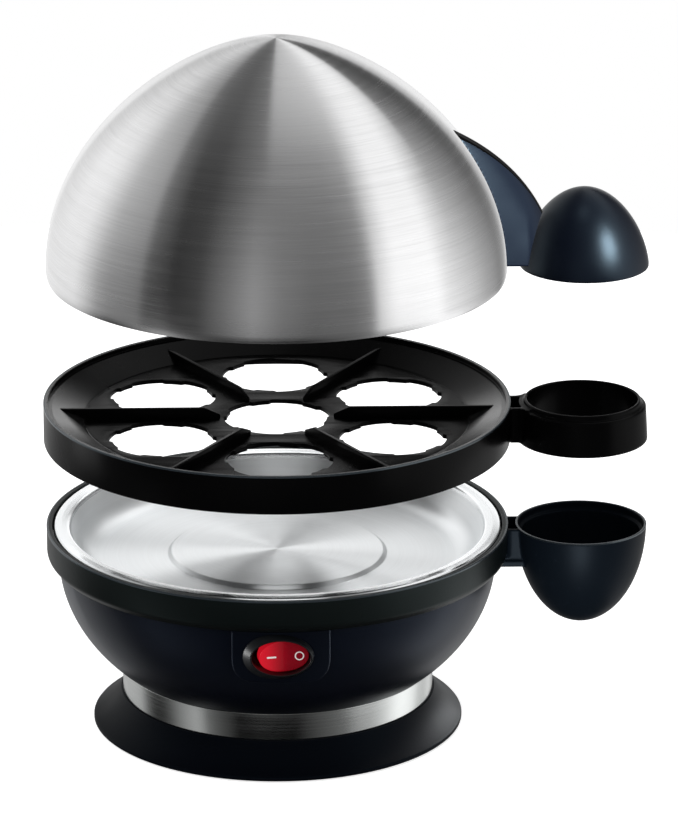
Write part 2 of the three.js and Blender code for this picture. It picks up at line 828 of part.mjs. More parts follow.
const fuse = new THREE.CylinderGeometry(fuseRadius, fuseRadius, fuseLength, pinSteps)
  .rotateZ(Math.PI / 2)
  .translate(0, fuseOffset, plateBottom - fitGap - fuseRadius);
place(baseGroup, 'thermal_fuse', fuse, whitePlastic);
const fuseClipBottom = plateBottom - 2 * fitGap - 2 * fuseRadius - clipSheet;
place(baseGroup, 'fuse_clip', strap(
  fuseOffset, fuseRadius + fitGap, fuseClipBottom, clipWidth - 1, false,
), plainSteel);

// ---------------------------------------------------------------- shield, bridge and nuts

const shieldBottom = shieldTop - shieldSheet;
const boltHole = studRadius + holeSlack;
let shield = solidOf(turned([
  at(0, shieldBottom),
  at(shieldRadius, shieldBottom),
  at(shieldRadius, shieldBottom + shieldRim),
  at(shieldRadius - shieldSheet, shieldBottom + shieldRim),
  at(shieldRadius - shieldSheet, shieldTop),
  at(0, shieldTop),
]));
const leadHole = wireRadius + 1.2;
for (const side of [-1, 1]) {
  shield = shield
    .subtract(cylinderSolid(boltHole, shieldBottom - past, shieldSheet + 2 * past, side * studReach, 0))
    .subtract(cylinderSolid(
      leadHole, shieldBottom - past, shieldSheet + 2 * past, side * elementEndX, elementEndY,
    ));
}
place(baseGroup, 'heat_shield', shield, aluminium);

let bridge = solidOf(block(
  0, 0, bridgeBottom, 2 * (bridgeReach + bridgeEnd), bridgeWidth, bridgeSheet,
));
for (const side of [-1, 1]) {
  for (const [radius, reach] of [[boltHole, studReach], [screwShank + holeSlack, bridgeReach]]) {
    bridge = bridge.subtract(
      cylinderSolid(radius, bridgeBottom - past, bridgeSheet + 2 * past, side * reach, 0),
    );
  }
}
place(baseGroup, 'mounting_bridge', bridge, plainSteel);

function nut(z) {
  const hexagon = drum(nutWidth / Math.sqrt(3), z, nutHeight, 6);
  return solidOf(hexagon).subtract(cylinderSolid(boltHole, z - past, nutHeight + 2 * past));
}
const panNutTop = bridgeBottom - fitGap;
const sideNames = [[-1, 'left'], [1, 'right']];
const bridgeScrewLength = 8;
for (const [side, sideName] of sideNames) {
  const shieldNut = place(baseGroup, `shield_nut_${sideName}`, nut(shieldNutTop - nutHeight), plainSteel);
  shieldNut.position.x = side * studReach;
  const panNut = place(baseGroup, `pan_nut_${sideName}`, nut(panNutTop - nutHeight), plainSteel);
  panNut.position.x = side * studReach;
  const bridgeScrew = place(baseGroup, `bridge_screw_${sideName}`,
    screw(screwShank, bridgeScrewLength, screwHead, screwHeadHeight), plainSteel);
  bridgeScrew.rotation.x = Math.PI;
  bridgeScrew.position.set(side * bridgeReach, 0, bridgeTop + fitGap + screwHeadHeight);
}

const tagTop = panNutTop - nutHeight - fitGap;
const tagSheet = 0.8;
const tagReach = 10;
const tagWidth = 4.5;
const earthTag = cylinderSolid(tagWidth, tagTop - tagSheet, tagSheet, studReach, 0)
  .add(solidOf(block(studReach - tagReach / 2, 0, tagTop - tagSheet, tagReach, tagWidth, tagSheet)))
  .subtract(cylinderSolid(boltHole, tagTop - tagSheet - past, tagSheet + 2 * past, studReach, 0));
place(baseGroup, 'earth_tag', earthTag, brass);

// ---------------------------------------------------------------- cord entry

const glandProfile = [
  at(cordHoleRadius, glandInnerFace - fitGap - glandSheet),
  at(glandRadius + glandFlange, glandInnerFace - fitGap - glandSheet),
  at(glandRadius + glandFlange, glandInnerFace - fitGap),
  at(glandRadius, glandInnerFace - fitGap),
  at(glandRadius, bossFace + fitGap),
  at(glandRadius + glandFlange, bossFace + fitGap),
  at(glandRadius + glandFlange, bossFace + fitGap + glandSheet),
  at(cordHoleRadius, bossFace + fitGap + glandSheet),
];
place(baseGroup, 'cord_gland',
  turned(glandProfile, smallSteps).rotateX(-Math.PI / 2).translate(0, 0, glandHeight), softBlack);

const clampLength = 2 * clampSpread + clampEnds;
let clamp = solidOf(block(0, clampReach, clampHeight, clampLength, clampDepth, clampThickness));
clamp = clamp.subtract(solidOf(
  new THREE.CylinderGeometry(cordHoleRadius, cordHoleRadius, 2 * clampDepth, smallSteps)
    .translate(0, clampReach, clampHeight - 0.4 * cordHoleRadius),
));
for (const side of [-1, 1]) {
  clamp = clamp.subtract(cylinderSolid(
    clampShank + holeSlack, clampHeight - past, clampThickness + 2 * past, side * clampSpread, clampReach,
  ));
}
place(baseGroup, 'cord_clamp', clamp, softBlack);
const clampHead = 0.8 * screwHead;
const clampHeadHeight = 0.8 * screwHeadHeight;
const clampScrewLength = 7;
for (const [side, sideName] of sideNames) {
  const clampScrew = place(baseGroup, `clamp_screw_${sideName}`,
    screw(clampShank, clampScrewLength, clampHead, clampHeadHeight), plainSteel);
  clampScrew.rotation.x = Math.PI;
  clampScrew.position.set(
    side * clampSpread, clampReach, clampHeight + clampThickness + fitGap + clampHeadHeight,
  );
}

// ---------------------------------------------------------------- wiring

const blockReach = shieldRadius - blockInset;
const blockTop = shieldBottom - fitGap;
const portHeight = blockTop - blockHeight / 2;
const portPitch = 8;
const leadDip = 5;
let terminalBlock = solidOf(block(
  0, blockReach, blockTop - blockHeight, blockWidth, blockDepth, blockHeight,
));
for (const k of [-1, 0, 1]) {
  terminalBlock = terminalBlock.subtract(solidOf(
    new THREE.CylinderGeometry(wireRadius + 0.6, wireRadius + 0.6, 2 * blockDepth, pinSteps)
      .translate(k * portPitch, blockReach, portHeight),
  ));
}
place(baseGroup, 'terminal_block', terminalBlock, whitePlastic);

const bodyFront = panelFace + sleeveDepth;
const bodyBack = bodyFront + switchBodyDepth;
const terminalEnd = bodyBack + terminalLength;
const portEntry = blockReach - blockDepth / 2 + 2;
const underBridge = tagTop - 2.4;
const leadGap = 0.9;
const leadEnd = terminalEnd + leadGap;
const leadRise = terminalEnd + 2.2;
const coldEndGap = coldEndZ - fitGap;
const leadBow = 12;
const leadTurn = 20;
const frontDip = -shieldRadius + portPitch;
const frontEdge = -shieldRadius - 2.6;
const elementPort = elementEndY - portPitch / 2;
const earthEnd = studReach - tagReach - leadGap;

place(baseGroup, 'live_lead', tube([
  [-portPitch, portEntry, portHeight],
  [-portPitch, portEntry - leadDip, portHeight - 0.6],
  [-leadBow, leadTurn, underBridge + 1],
  [-leadBow, -leadBow, underBridge],
  [-portPitch, frontDip, portHeight - 1],
  [-terminalPitch, frontEdge, shieldBottom - 2],
  [-terminalPitch, leadRise, switchHeight - 2],
  [-terminalPitch, leadEnd, switchHeight],
], wireRadius, 18), softBlack);
place(baseGroup, 'switched_lead', tube([
  [terminalPitch, leadEnd, switchHeight],
  [terminalPitch, leadRise, switchHeight - 2],
  [terminalPitch, frontEdge, shieldBottom - 2],
  [portPitch, frontDip, portHeight - 1],
  [0.75 * leadBow, -leadBow, underBridge],
  [portPitch / 2, leadTurn / 2, underBridge],
  [-elementEndX, elementPort, portHeight - 2],
  [-elementEndX, elementEndY, shieldBottom - 1],
  [-elementEndX + 0.4, elementEndY + 0.2, coldEndGap],
], wireRadius, 22), whitePlastic);
place(baseGroup, 'neutral_lead', tube([
  [elementEndX - 0.4, elementEndY + 0.2, coldEndGap],
  [elementEndX, elementEndY, shieldBottom - 1],
  [elementEndX - 0.6, elementEndY + 2.4, portHeight + 0.4],
  [portPitch, portEntry - leadDip / 2, portHeight],
  [portPitch, portEntry, portHeight],
], wireRadius, 12), softBlack);
place(baseGroup, 'earth_lead', tube([
  [0, portEntry, portHeight],
  [0, portEntry - leadDip, portHeight - 0.6],
  [leadBow + 2, leadTurn - 2, underBridge + 1],
  [earthEnd - leadBow / 2, 1.5, tagTop - tagSheet / 2],
  [earthEnd, 0, tagTop - tagSheet / 2],
], wireRadius, 12), brass);

// ---------------------------------------------------------------- switch

const oval = (halfWidth, halfHeight, fromY, toY) =>
  solidOf(along(ovalShape(halfWidth, halfHeight, switchHeight), fromY, toY, ovalSteps));
const bezelFront = panelFace - fitGap - bezelLip;
const sleeveEnd = bodyFront - fitGap;
const bezelFlangeSolid = oval(
  sleeveWidth + bezelFlange, sleeveHeight + bezelFlange, bezelFront, panelFace + bezelFlangeDepth,
).subtract(cylinderSolid(panelRadius + fitGap, 0, rimHeight, 0, 0, 2 * turnSteps));
const bezel = bezelFlangeSolid
  .add(oval(sleeveWidth, sleeveHeight, bezelFront, sleeveEnd))
  .subtract(oval(openWidth, openHeight, bezelFront - past, sleeveEnd + past));
place(baseGroup, 'switch_bezel', bezel, satinBlack);

const pivotY = panelFace + pivotDepth;
const pinRadius = 1;
const bodyBackWall = 1.5;
const bladeSlot = (k) => solidOf(block(
  k * terminalPitch, bodyBack, switchHeight - terminalWidth / 2 - fitGap,
  terminalSheet + 2 * fitGap, 4 * bodyBackWall, terminalWidth + 2 * fitGap,
));
let switchBody = oval(sleeveWidth, sleeveHeight, bodyFront, bodyBack)
  .subtract(oval(openWidth, openHeight, bodyFront - past, bodyBack - bodyBackWall))
  .subtract(cylinderSolid(
    pinRadius + holeSlack, switchHeight - sleeveHeight - past, 2 * (sleeveHeight + past), 0, pivotY,
  ));
for (const k of [-1, 0, 1]) switchBody = switchBody.subtract(bladeSlot(k));
place(baseGroup, 'switch_body', switchBody, softBlack);

// Rocker: a shallow V in plan, oval from the front, drawn level and turned to its off stop
const rockerEnd = rockerHalfWidth + past;
const rockerBack = 0.8;
const plungerRoot = 1.8;
const plungerReach = 4.1;
const plungerHalf = 0.8;
const plungerRootHalf = 1.5;
const rockerPlan = new THREE.Shape();
rockerPlan.moveTo(0, -rockerRise + rockerDip);
rockerPlan.lineTo(rockerEnd, -rockerRise);
rockerPlan.lineTo(rockerEnd, -0.4 * rockerRise);
rockerPlan.lineTo(0.6 * rockerHalfWidth, rockerBack);
rockerPlan.lineTo(plungerRootHalf, plungerRoot);
rockerPlan.lineTo(plungerHalf, plungerReach);
rockerPlan.lineTo(-plungerHalf, plungerReach);
rockerPlan.lineTo(-plungerRootHalf, plungerRoot);
rockerPlan.lineTo(-0.6 * rockerHalfWidth, rockerBack);
rockerPlan.lineTo(-rockerEnd, -0.4 * rockerRise);
rockerPlan.lineTo(-rockerEnd, -rockerRise);
rockerPlan.closePath();
const rockerOval = solidOf(along(
  ovalShape(rockerHalfWidth, rockerHalfHeight), -rockerRise - past, plungerReach + past, ovalSteps,
));
const pinLength = 2 * sleeveHeight - fitGap;
const rocker = solidOf(slab(rockerPlan, -rockerHalfHeight - past, 2 * (rockerHalfHeight + past)))
  .intersect(rockerOval)
  .add(cylinderSolid(pinRadius, -pinLength / 2, pinLength));
const rockerMesh = place(egg, 'switch_rocker', rocker, redGloss);
rockerMesh.position.set(0, pivotY, switchHeight);
rockerMesh.rotation.z = THREE.MathUtils.degToRad(rockerTilt);

// Contact lever: a strip that rocks on the middle blade as the rocker's tip slides across it
const plungerEnd = pivotY + plungerReach;
const leverSheet = 0.8;
const leverFront = plungerEnd + 0.45;
const leverBack = leverFront + leverSheet;
const leverHalfLength = 8;
const leverTilt = 8;
const leverWidth = 4;
const lever = solidOf(block(
  0, -leverSheet / 2, -leverWidth / 2, 2 * leverHalfLength, leverSheet, leverWidth,
));
const leverMesh = place(egg, 'contact_lever', lever, brass);
leverMesh.position.set(0, leverBack, switchHeight);
leverMesh.rotation.z = THREE.MathUtils.degToRad(-leverTilt);

const leverSweep = leverHalfLength * Math.sin(THREE.MathUtils.degToRad(leverTilt));
const bladeStarts = [[-1, 'left', leverBack + leverSweep + fitGap], [0, 'middle', leverBack + fitGap],
  [1, 'right', leverBack + leverSweep + fitGap]];
for (const [k, name, start] of bladeStarts) {
  place(baseGroup, `switch_terminal_${name}`, block(
    k * terminalPitch, (start + terminalEnd) / 2, switchHeight - terminalWidth / 2,
    terminalSheet, terminalEnd - start, terminalWidth,
  ), brass);
}
const lampRadius = 1.6;
const lampLength = 6;
place(baseGroup, 'neon_lamp',
  new THREE.CylinderGeometry(lampRadius, lampRadius, lampLength, pinSteps)
    .rotateZ(Math.PI / 2)
    .translate(0, bodyBack - bodyBackWall - lampRadius - fitGap,
      switchHeight + terminalWidth / 2 + lampRadius + fitGap),
  lampGlass);

// ---------------------------------------------------------------- egg tray

const trayBottom = rimHeight + fitGap + trayLift;
const trayRadius = bodyRadius + trayOverhang;
const trayBore = trayRadius - trayWall;
const trayTop = trayBottom + trayHeight;
const seatTop = trayTop - traySeatDepth;
const plateUp = trayTop - trayPlateDepth;
const plateDown = plateUp - trayPlateThickness;
const slopeTop = trayBore - traySeatWidth;
const trayPlateRadius = slopeTop - traySlopeWidth;
const eggPitch = trayPlateRadius - eggHoleRadius - eggHoleEdge;
const ribStart = eggHoleRadius + ribGap;
const ringOuter = cupRadius;
const ringShoulder = ringOuter - ringFlare;
const ringInner = ringOuter - ringWall - ringFlare;
const ringBottom = trayBottom - cupDrop;
const ringShoulderTop = seatTop - ringDip;
const ringTop = ringShoulderTop + ringLipHeight;
const ringSolid = solidOf(turned([
  at(ringInner, ringBottom),
  at(ringOuter, ringBottom),
  at(ringShoulder, ringShoulderTop),
  at(ringInner + ringLipWall, ringShoulderTop),
  at(ringInner + ringLipWall - 0.3, ringTop),
  at(ringInner, ringTop),
], cupSteps)).translate([handleReach, 0, 0]);
const throughTray = ringTop - ringBottom + 2 * past;
const ringDrum = cylinderSolid(ringShoulder, ringBottom - past, throughTray, handleReach, 0, cupSteps);
const ringHole = cylinderSolid(ringInner, ringBottom - past, throughTray, handleReach, 0, cupSteps);

// An egg hole: an outline that steps in and out, with teeth that grip eggs of any size
function eggHole() {
  const shape = new THREE.Shape();
  const steps = 3;
  const stretches = [[eggHoleRadius, 0, 0.6], [eggHoleRadius - eggToothDepth, 0.62, 0.98]];
  for (let i = 0; i < eggTeeth; i += 1) {
    for (const [radius, from, to] of stretches) {
      for (let k = 0; k <= steps; k += 1) {
        const angle = ((i + from + ((to - from) * k) / steps) / eggTeeth) * 2 * Math.PI;
        const [x, y] = [radius * Math.cos(angle), radius * Math.sin(angle)];
        if (i === 0 && k === 0 && from === 0) shape.moveTo(x, y);
        else shape.lineTo(x, y);
      }
    }
  }
  shape.closePath();
  return solidOf(slab(shape, plateDown - past, trayPlateThickness + 2 * past));
}

let tray = solidOf(turned([
  at(0, plateDown),
  at(trayPlateRadius, plateDown),
  at(slopeTop - 0.6, seatTop - trayPlateThickness),
  at(trayBore, seatTop - 1.6 * trayPlateThickness),
  at(trayBore, trayBottom),
  at(trayRadius, trayBottom),
  at(trayRadius, trayTop - 0.5),
  at(trayRadius - 0.4, trayTop),
  at(trayBore + 0.4, trayTop),
  at(trayBore, trayTop - 0.4),
  at(trayBore, seatTop),
  at(slopeTop, seatTop),
  at(trayPlateRadius, plateUp),
  at(0, plateUp),
]));
const holeSolid = eggHole();
tray = tray.subtract(holeSolid);
for (const angle of roundAbout(6, Math.PI / 6)) {
  tray = tray.subtract(holeSolid
    .rotate([0, 0, (angle * 180) / Math.PI])
    .translate([eggPitch * Math.cos(angle), eggPitch * Math.sin(angle), 0]));
}
const ribHeight = seatTop - plateUp;
const rib = new THREE.Shape();
rib.moveTo(ribStart, plateUp - 0.5 * trayPlateThickness);
rib.lineTo(ribStart, plateUp + 0.3 * ribHeight);
rib.lineTo(ribStart + 1.6 * ribHeight, seatTop);
rib.lineTo(slopeTop, seatTop);
rib.lineTo(slopeTop, seatTop - 0.6 * trayPlateThickness);
rib.lineTo(trayPlateRadius, plateUp - 0.5 * trayPlateThickness);
rib.closePath();
const ribSolid = solidOf(upright(rib, ribThickness));
for (const angle of roundAbout(6, 0)) {
  tray = tray.add(ribSolid.rotate([0, 0, (angle * 180) / Math.PI]));
}
const trayDrum = bodyDrum(trayRadius, ringBottom, throughTray);
const underTray = bodyDrum(trayRadius, ringBottom - past, trayBottom - ringBottom + past);
const trayArmHeight = seatTop - trayBottom + 0.5 * cupDrop;
const trayArm = armBetween(
  trayRadius - past, seatTop, trayArmHeight, armFloorDepth, trayDrum, ringDrum,
).subtract(ringHole).subtract(underTray);
tray = tray.add(trayArm).add(ringSolid);
place(trayGroup, 'egg_tray', tray, trayBlack);

// ---------------------------------------------------------------- lid

const lidEdgeRadius = trayBore - lidPlay;
const lidRadius = lidEdgeRadius + lidTuck;
const lidEdge = seatTop + fitGap + lidLift;
const lidEquator = lidEdge + lidTuckHeight;
const lidCurve = (inset, steps) =>
  eggCurve(lidRadius - inset, lidHeight - inset, lidSidePower, lidTipPower, steps)
    .map((p) => at(p.x, p.y + lidEquator));
const lidOutside = lidCurve(0, 10);
const lidInside = lidCurve(lidWall, 10);
let dome = solidOf(turned([
  ...lidInside.slice().reverse(),
  at(lidEdgeRadius - lidHem + 0.2, lidEdge + 0.4 * lidTuckHeight),
  at(lidEdgeRadius - lidHem, lidEdge + 0.2),
  at(lidEdgeRadius - 0.5 * lidHem, lidEdge),
  at(lidEdgeRadius, lidEdge + 0.2),
  at(lidEdgeRadius + 0.5 * lidTuck, lidEdge + 0.5 * lidTuckHeight),
  ...lidOutside,
]));

// Where a line at this height meets the dome on the handle side, and the dome's slope there
function domeAt(height) {
  const radiusAt = (h) =>
    lidRadius * (1 - ((h - lidEquator) / lidHeight) ** lidSidePower) ** (1 / lidTipPower);
  const slope = radiusAt(height + 0.5) - radiusAt(height - 0.5);
  return { r: radiusAt(height), tilt: Math.atan(-slope) };
}

const handleScrewHeights = [['lower', 0.23 * finRise], ['upper', 0.52 * finRise]];
// Puts a solid that points along +Z onto the dome's skin, pointing straight out of it
function ontoDome(solid, height) {
  const { r, tilt } = domeAt(height);
  const turn = 90 - (tilt * 180) / Math.PI;
  return solid.rotate([0, turn, 0]).translate([r, 0, height]);
}
const handleScrew = screw(screwShank, handleScrewLength + lidWall, screwHead, screwHeadHeight);
const drillStart = -3;
const screwBore = cylinderSolid(screwShank + holeSlack, drillStart, handleScrewLength + past - drillStart);
const drill = (radius) => cylinderSolid(radius, drillStart, -2 * drillStart);
for (const [, rise] of handleScrewHeights) {
  dome = dome.subtract(ontoDome(drill(screwShank + holeSlack), lidEdge + rise));
}
const ventAzimuth = 115;
dome = dome.subtract(ontoDome(drill(ventRadius), lidEdge + ventHeight).rotate([0, 0, ventAzimuth]));
place(lidGroup, 'lid_dome', dome, brushedSteel);

// Handle: a fin that leaves the dome and ends in a hollow half egg
const knobRadius = cupRadius - knobInset;
const knobBottom = lidEdge + knobLift;
const knobShell = (inset, bottom, steps) => solidOf(turned([
  at(0, bottom),
  at(knobRadius - inset, bottom),
  ...eggCurve(knobRadius - inset, knobHeight - inset, knobSidePower, knobTipPower, steps)
    .map((p) => at(p.x, p.y + knobBottom)),
].filter((p, i, all) => i === 0 || p.distanceTo(all[i - 1]) > 1e-6), cupSteps))
  .translate([handleReach, 0, 0]);
const knobOuter = knobShell(0, knobBottom, 9);
const knobInner = knobShell(knobWall, knobBottom - past, 8);

// The fin's cross-sections follow its ridge: broad at the foot, with flanks that close to a rounded top
const finFoot = lidEdge + finFloor;
const finTop = lidEdge + finRise;
const finEnd = handleReach - 0.592 * cupRadius;
const finCrease = knobBottom + 0.625 * knobHeight;
const finRoot = 4; // how far the fin starts inside the dome, before it is cut to fit
const finStart = domeAt(finTop).r - finRoot;
const finStations = 14;
const finFlankSteps = 6;
const ridge = new THREE.QuadraticBezierCurve(
  at(finStart, finTop + 1.4),
  at(finEnd - finShoulder, finCrease + 0.7 * (finTop - finCrease)),
  at(finEnd, finCrease),
);
function finSection(ridgePoint) {
  const closing = Math.max(0, ridgePoint.x - (handleReach - finRoundStart)) / finRoundLength;
  const halfWidth = (finFootWidth / 2) * Math.sqrt(1 - closing ** 2);
  const section = [];
  for (let k = -finFlankSteps; k <= finFlankSteps; k += 1) {
    const rise = Math.cos((k / finFlankSteps) * (Math.PI / 2));
    const width = Math.sign(k) * halfWidth * Math.max(0, 1 - rise ** 1.3) ** (1 / 1.6);
    section.push([ridgePoint.x, width, finFoot + rise * (ridgePoint.y - finFoot)]);
  }
  return section;
}
const finSolid = solidOf(loft(ridge.getPoints(finStations).map(finSection)));
const domeClear = solidOf(turned([
  at(0, lidEdge - past),
  at(lidRadius + fitGap, lidEdge - past),
  ...eggCurve(lidRadius + fitGap, lidHeight + fitGap, lidSidePower, lidTipPower, 10)
    .map((p) => at(p.x, p.y + lidEquator)),
]));
let handle = finSolid.add(knobOuter).subtract(knobInner).subtract(domeClear);
for (const [name, rise] of handleScrewHeights) {
  handle = handle.subtract(ontoDome(screwBore, lidEdge + rise));
  place(lidGroup, `handle_screw_${name}`,
    ontoDome(handleScrew.translate([0, 0, -screwHeadHeight - lidWall - 2 * fitGap]), lidEdge + rise),
    plainSteel);
}
place(lidGroup, 'lid_handle', handle, satinBlack);

export default egg;
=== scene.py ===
import json
from math import asin, atan2, copysign, cos, pi, radians, sin, sqrt, tan

import bmesh
import bpy
from mathutils import Matrix, Vector

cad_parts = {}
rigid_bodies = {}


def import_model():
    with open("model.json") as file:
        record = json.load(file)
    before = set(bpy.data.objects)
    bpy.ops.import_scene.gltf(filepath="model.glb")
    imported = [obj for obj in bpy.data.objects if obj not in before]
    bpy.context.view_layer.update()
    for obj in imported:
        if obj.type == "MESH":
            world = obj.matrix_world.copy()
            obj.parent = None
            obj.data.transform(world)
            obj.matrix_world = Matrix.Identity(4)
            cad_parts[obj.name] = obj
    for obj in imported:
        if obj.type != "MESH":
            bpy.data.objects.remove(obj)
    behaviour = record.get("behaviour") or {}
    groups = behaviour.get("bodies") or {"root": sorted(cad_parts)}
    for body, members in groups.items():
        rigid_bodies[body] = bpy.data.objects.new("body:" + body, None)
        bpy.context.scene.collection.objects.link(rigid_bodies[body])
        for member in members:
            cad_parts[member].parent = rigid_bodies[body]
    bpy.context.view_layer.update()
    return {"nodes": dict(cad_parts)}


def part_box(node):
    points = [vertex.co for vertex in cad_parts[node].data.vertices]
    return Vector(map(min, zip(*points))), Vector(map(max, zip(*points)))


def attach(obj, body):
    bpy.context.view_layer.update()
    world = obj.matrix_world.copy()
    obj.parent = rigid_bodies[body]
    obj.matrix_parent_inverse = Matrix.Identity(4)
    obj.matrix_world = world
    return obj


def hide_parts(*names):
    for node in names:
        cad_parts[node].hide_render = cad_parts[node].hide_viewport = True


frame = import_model()
nodes = frame["nodes"]
mm = 0.001  # every size below is written in millimetres

for startObject in [o for o in bpy.data.objects if o.name in ("Cube", "Light", "Camera")]:
    bpy.data.objects.remove(startObject)
scene = bpy.context.scene


def lowest(node):
    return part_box(node)[0] / mm


def highest(node):
    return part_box(node)[1] / mm


# sizes that several pieces share, taken from the frame where it has them
gap = 0.3  # between pieces that fit together
bodyRadius = highest("collar").y
rimHeight = highest("collar").z
cupRadius = 25
cupTop = rimHeight - 1.4
reach = highest("collar").x - cupRadius  # from the axis to the middle of cup, ring and knob
lidEdge = lowest("lid_dome").z
trayTop = highest("egg_tray").z
trayBottom = trayTop - 14.8
ringBottom = lowest("egg_tray").z
collarBottom = rimHeight - 13
switchHeight = (highest("switch_bezel").z + lowest("switch_bezel").z) / 2


# ---- camera

view = {
    "target": (0.02355, 0, 0.1238),
    "distance": 2.5,
    "elevation": 18.8,
    "turn": 1.4,  # degrees towards the left of straight in front
    "lens": 289.1,
}
elevation, turnLeft = radians(view["elevation"]), radians(view["turn"])
target = Vector(view["target"])
away = Vector((-sin(turnLeft) * cos(elevation), -cos(turnLeft) * cos(elevation), sin(elevation)))
cameraData = bpy.data.cameras.new("camera")
cameraData.lens = view["lens"]
cameraData.clip_end = 50
camera = bpy.data.objects.new("camera", cameraData)
camera.location = target + view["distance"] * away
camera.rotation_euler = away.to_track_quat("Z", "Y").to_euler()
scene.collection.objects.link(camera)
scene.camera = camera
scene.view_settings.view_transform = "Standard"


# ---- node helpers: a tree is found through the sockets that are joined in it

def fill(node, **values):
    for label, value in values.items():
        socket = node.inputs[label.replace("_", " ")]
        if isinstance(value, bpy.types.NodeSocket):
            node.id_data.links.new(value, socket)
        elif socket.type == "RGBA":
            socket.default_value = (*value, 1)
        else:
            socket.default_value = value
    return node


def add(tree, kind, **values):
    return fill(tree.nodes.new("ShaderNode" + kind), **values)


def grow(tree, kind, **values):
    return fill(tree.nodes.new("GeometryNode" + kind), **values)


def sums(operation, *values):
    tree = next(value.id_data for value in values if isinstance(value, bpy.types.NodeSocket))
    node = add(tree, "Math")
    node.operation = operation
    for socket, value in zip(node.inputs, values):
        if isinstance(value, (int, float)):
            socket.default_value = value
        else:
            tree.links.new(value, socket)
    return node.outputs[0]


def nodeStep(operation):
    return lambda *values: sums(operation, *values)


plus, minus, times, over, scaled, power, most = [nodeStep(operation) for operation in (
    "ADD", "SUBTRACT", "MULTIPLY", "DIVIDE", "MULTIPLY_ADD", "POWER", "MAXIMUM")]


def ramp(factor, stops):
    node = add(factor.id_data, "ValToRGB", Fac=factor)
    elements = node.color_ramp.elements
    while len(elements) < len(stops):
        elements.new(0.5)
    for element, (position, level) in zip(elements, stops):
        element.position = position
        element.color = (level, level, level, 1)
    return node.outputs["Color"]


def spread(value, low, high, fromLow=0.3, fromHigh=0.7, smooth=False):
    node = add(value.id_data, "MapRange", Value=value,
               From_Min=fromLow, From_Max=fromHigh, To_Min=low, To_Max=high)
    node.interpolation_type = "SMOOTHSTEP" if smooth else "LINEAR"
    return node.outputs["Result"]


def blended(factor, first, second):
    node = add(factor.id_data, "Mix")
    node.data_type = "RGBA"
    return fill(node, Factor=factor, A=first, B=second).outputs["Result"]


def apart(vector):
    return add(vector.id_data, "SeparateXYZ", Vector=vector).outputs


def compassShare(vector):
    # the turn from the front as a share of a full turn, with the front at a half
    x, y, z = apart(vector)
    turn = sums("ARCTAN2", x, times(y, -1))
    return scaled(turn, 0.5 / pi, 0.5)


def compassRamp(share, levels):
    return ramp(share, [(turn / 360 + 0.5, level) for turn, level in levels])


# ---- studio: panels stand so that each sends its light to one meridian of a round object, seen from
# the camera's fixed place. Levels go by the meridian's turn from the front (+ is right), for walls,
# shoulders and crown, where turns beyond 90 are those of flat tops

studio = {
    "walls": [
        (-90, 0.9), (-62, 0.9), (-57, 0.66), (-52, 0.36), (-48, 0.26), (-38, 0.17), (-36, 0.06), (-28, 0.02),
        (-21, 0.06), (-14, 0.2), (-7, 0.36), (0, 0.22), (8, 0.15), (18, 0.16), (23.5, 0.24), (25, 0.8),
        (30, 1.2), (43, 1.22), (47, 0.92), (54, 0.75), (64, 0.46), (74, 0.28), (79, 0.4), (90, 0.9),
    ],
    "shoulders": [
        (-90, 0.7), (-78, 0.88), (-70, 1.04), (-60, 1.0), (-54, 0.8), (-49, 0.58), (-38, 0.4), (-36, 0.2),
        (-28, 0.05), (-20, 0.05), (-12, 0.11), (-6, 0.17), (14, 0.2), (21, 0.27), (25, 0.55), (31, 1.05),
        (42, 1.05), (47, 0.75), (52, 0.42), (60, 0.28), (72, 0.12), (79, 0.12), (83, 0.5), (90, 0.8),
    ],
    "crown": [
        (-180, 1.1), (-128, 1.1), (-118, 0.62), (-90, 0.58), (-70, 0.68), (-58, 0.62), (-50, 0.48),
        (-40, 0.3), (-36, 0.16), (-20, 0.13), (-10, 0.17), (-5, 0.2), (-3.5, 0.62), (14, 0.74), (28, 0.88),
        (38, 1.05), (48, 1.02), (52, 0.85), (53.5, 0.10), (70, 0.05), (79, 0.07), (83, 0.5), (90, 0.7),
        (112, 0.7), (122, 0.3), (180, 0.3),
    ],
    "toShoulders": (0.20, 0.62),  # between these heights one set of levels passes into the next
    "toCrown": (0.68, 0.90),
    "toUnder": (-0.42, -0.62),
    "under": 0.05,
    "behind": [(0, 0), (0.44, 0), (0.455, 1), (0.5, 1)],
    "behindTop": (0.06, 0.2),
    "behindFoot": (-0.6, -0.4),
    "plain": 0.85,  # level of the soft light that colours are seen by
    "lamp": 9,
    "lampPlace": (-0.5, -0.7, 1.6),
    "lampSize": 1.8,
}
world = bpy.data.worlds.new("studio")
scene.world = world
world.use_nodes = True
sky = world.node_tree
sky.nodes.clear()


def background(level):
    return add(sky, "Background", Color=level).outputs[0]


def choose(share, first, second):
    node = add(sky, "MixShader", Fac=share)
    sky.links.new(first, node.inputs[1])
    sky.links.new(second, node.inputs[2])
    return node.outputs[0]


def vectorStep(operation, first, second=(0, 0, 0)):
    node = add(sky, "VectorMath")
    node.operation = operation
    sky.links.new(first, node.inputs[0])
    node.inputs[1].default_value = second
    return node.outputs["Vector"]


direction = add(sky, "TexCoord").outputs["Generated"]
facing = vectorStep("NORMALIZE", vectorStep("ADD", direction, tuple(away)))
turnShare, facingShare = compassShare(direction), compassShare(facing)
heightUp, facingUp = apart(direction)["Z"], apart(facing)["Z"]
walls, shoulders, crown = [compassRamp(facingShare, studio[part]) for part in ("walls", "shoulders", "crown")]
panels = blended(spread(facingUp, 0, 1, *studio["toShoulders"]), walls, shoulders)
panels = blended(spread(facingUp, 0, 1, *studio["toCrown"]), panels, crown)
panels = blended(spread(heightUp, 0, 1, *studio["toUnder"], True), panels, (studio["under"],) * 3)
rays = add(sky, "LightPath").outputs
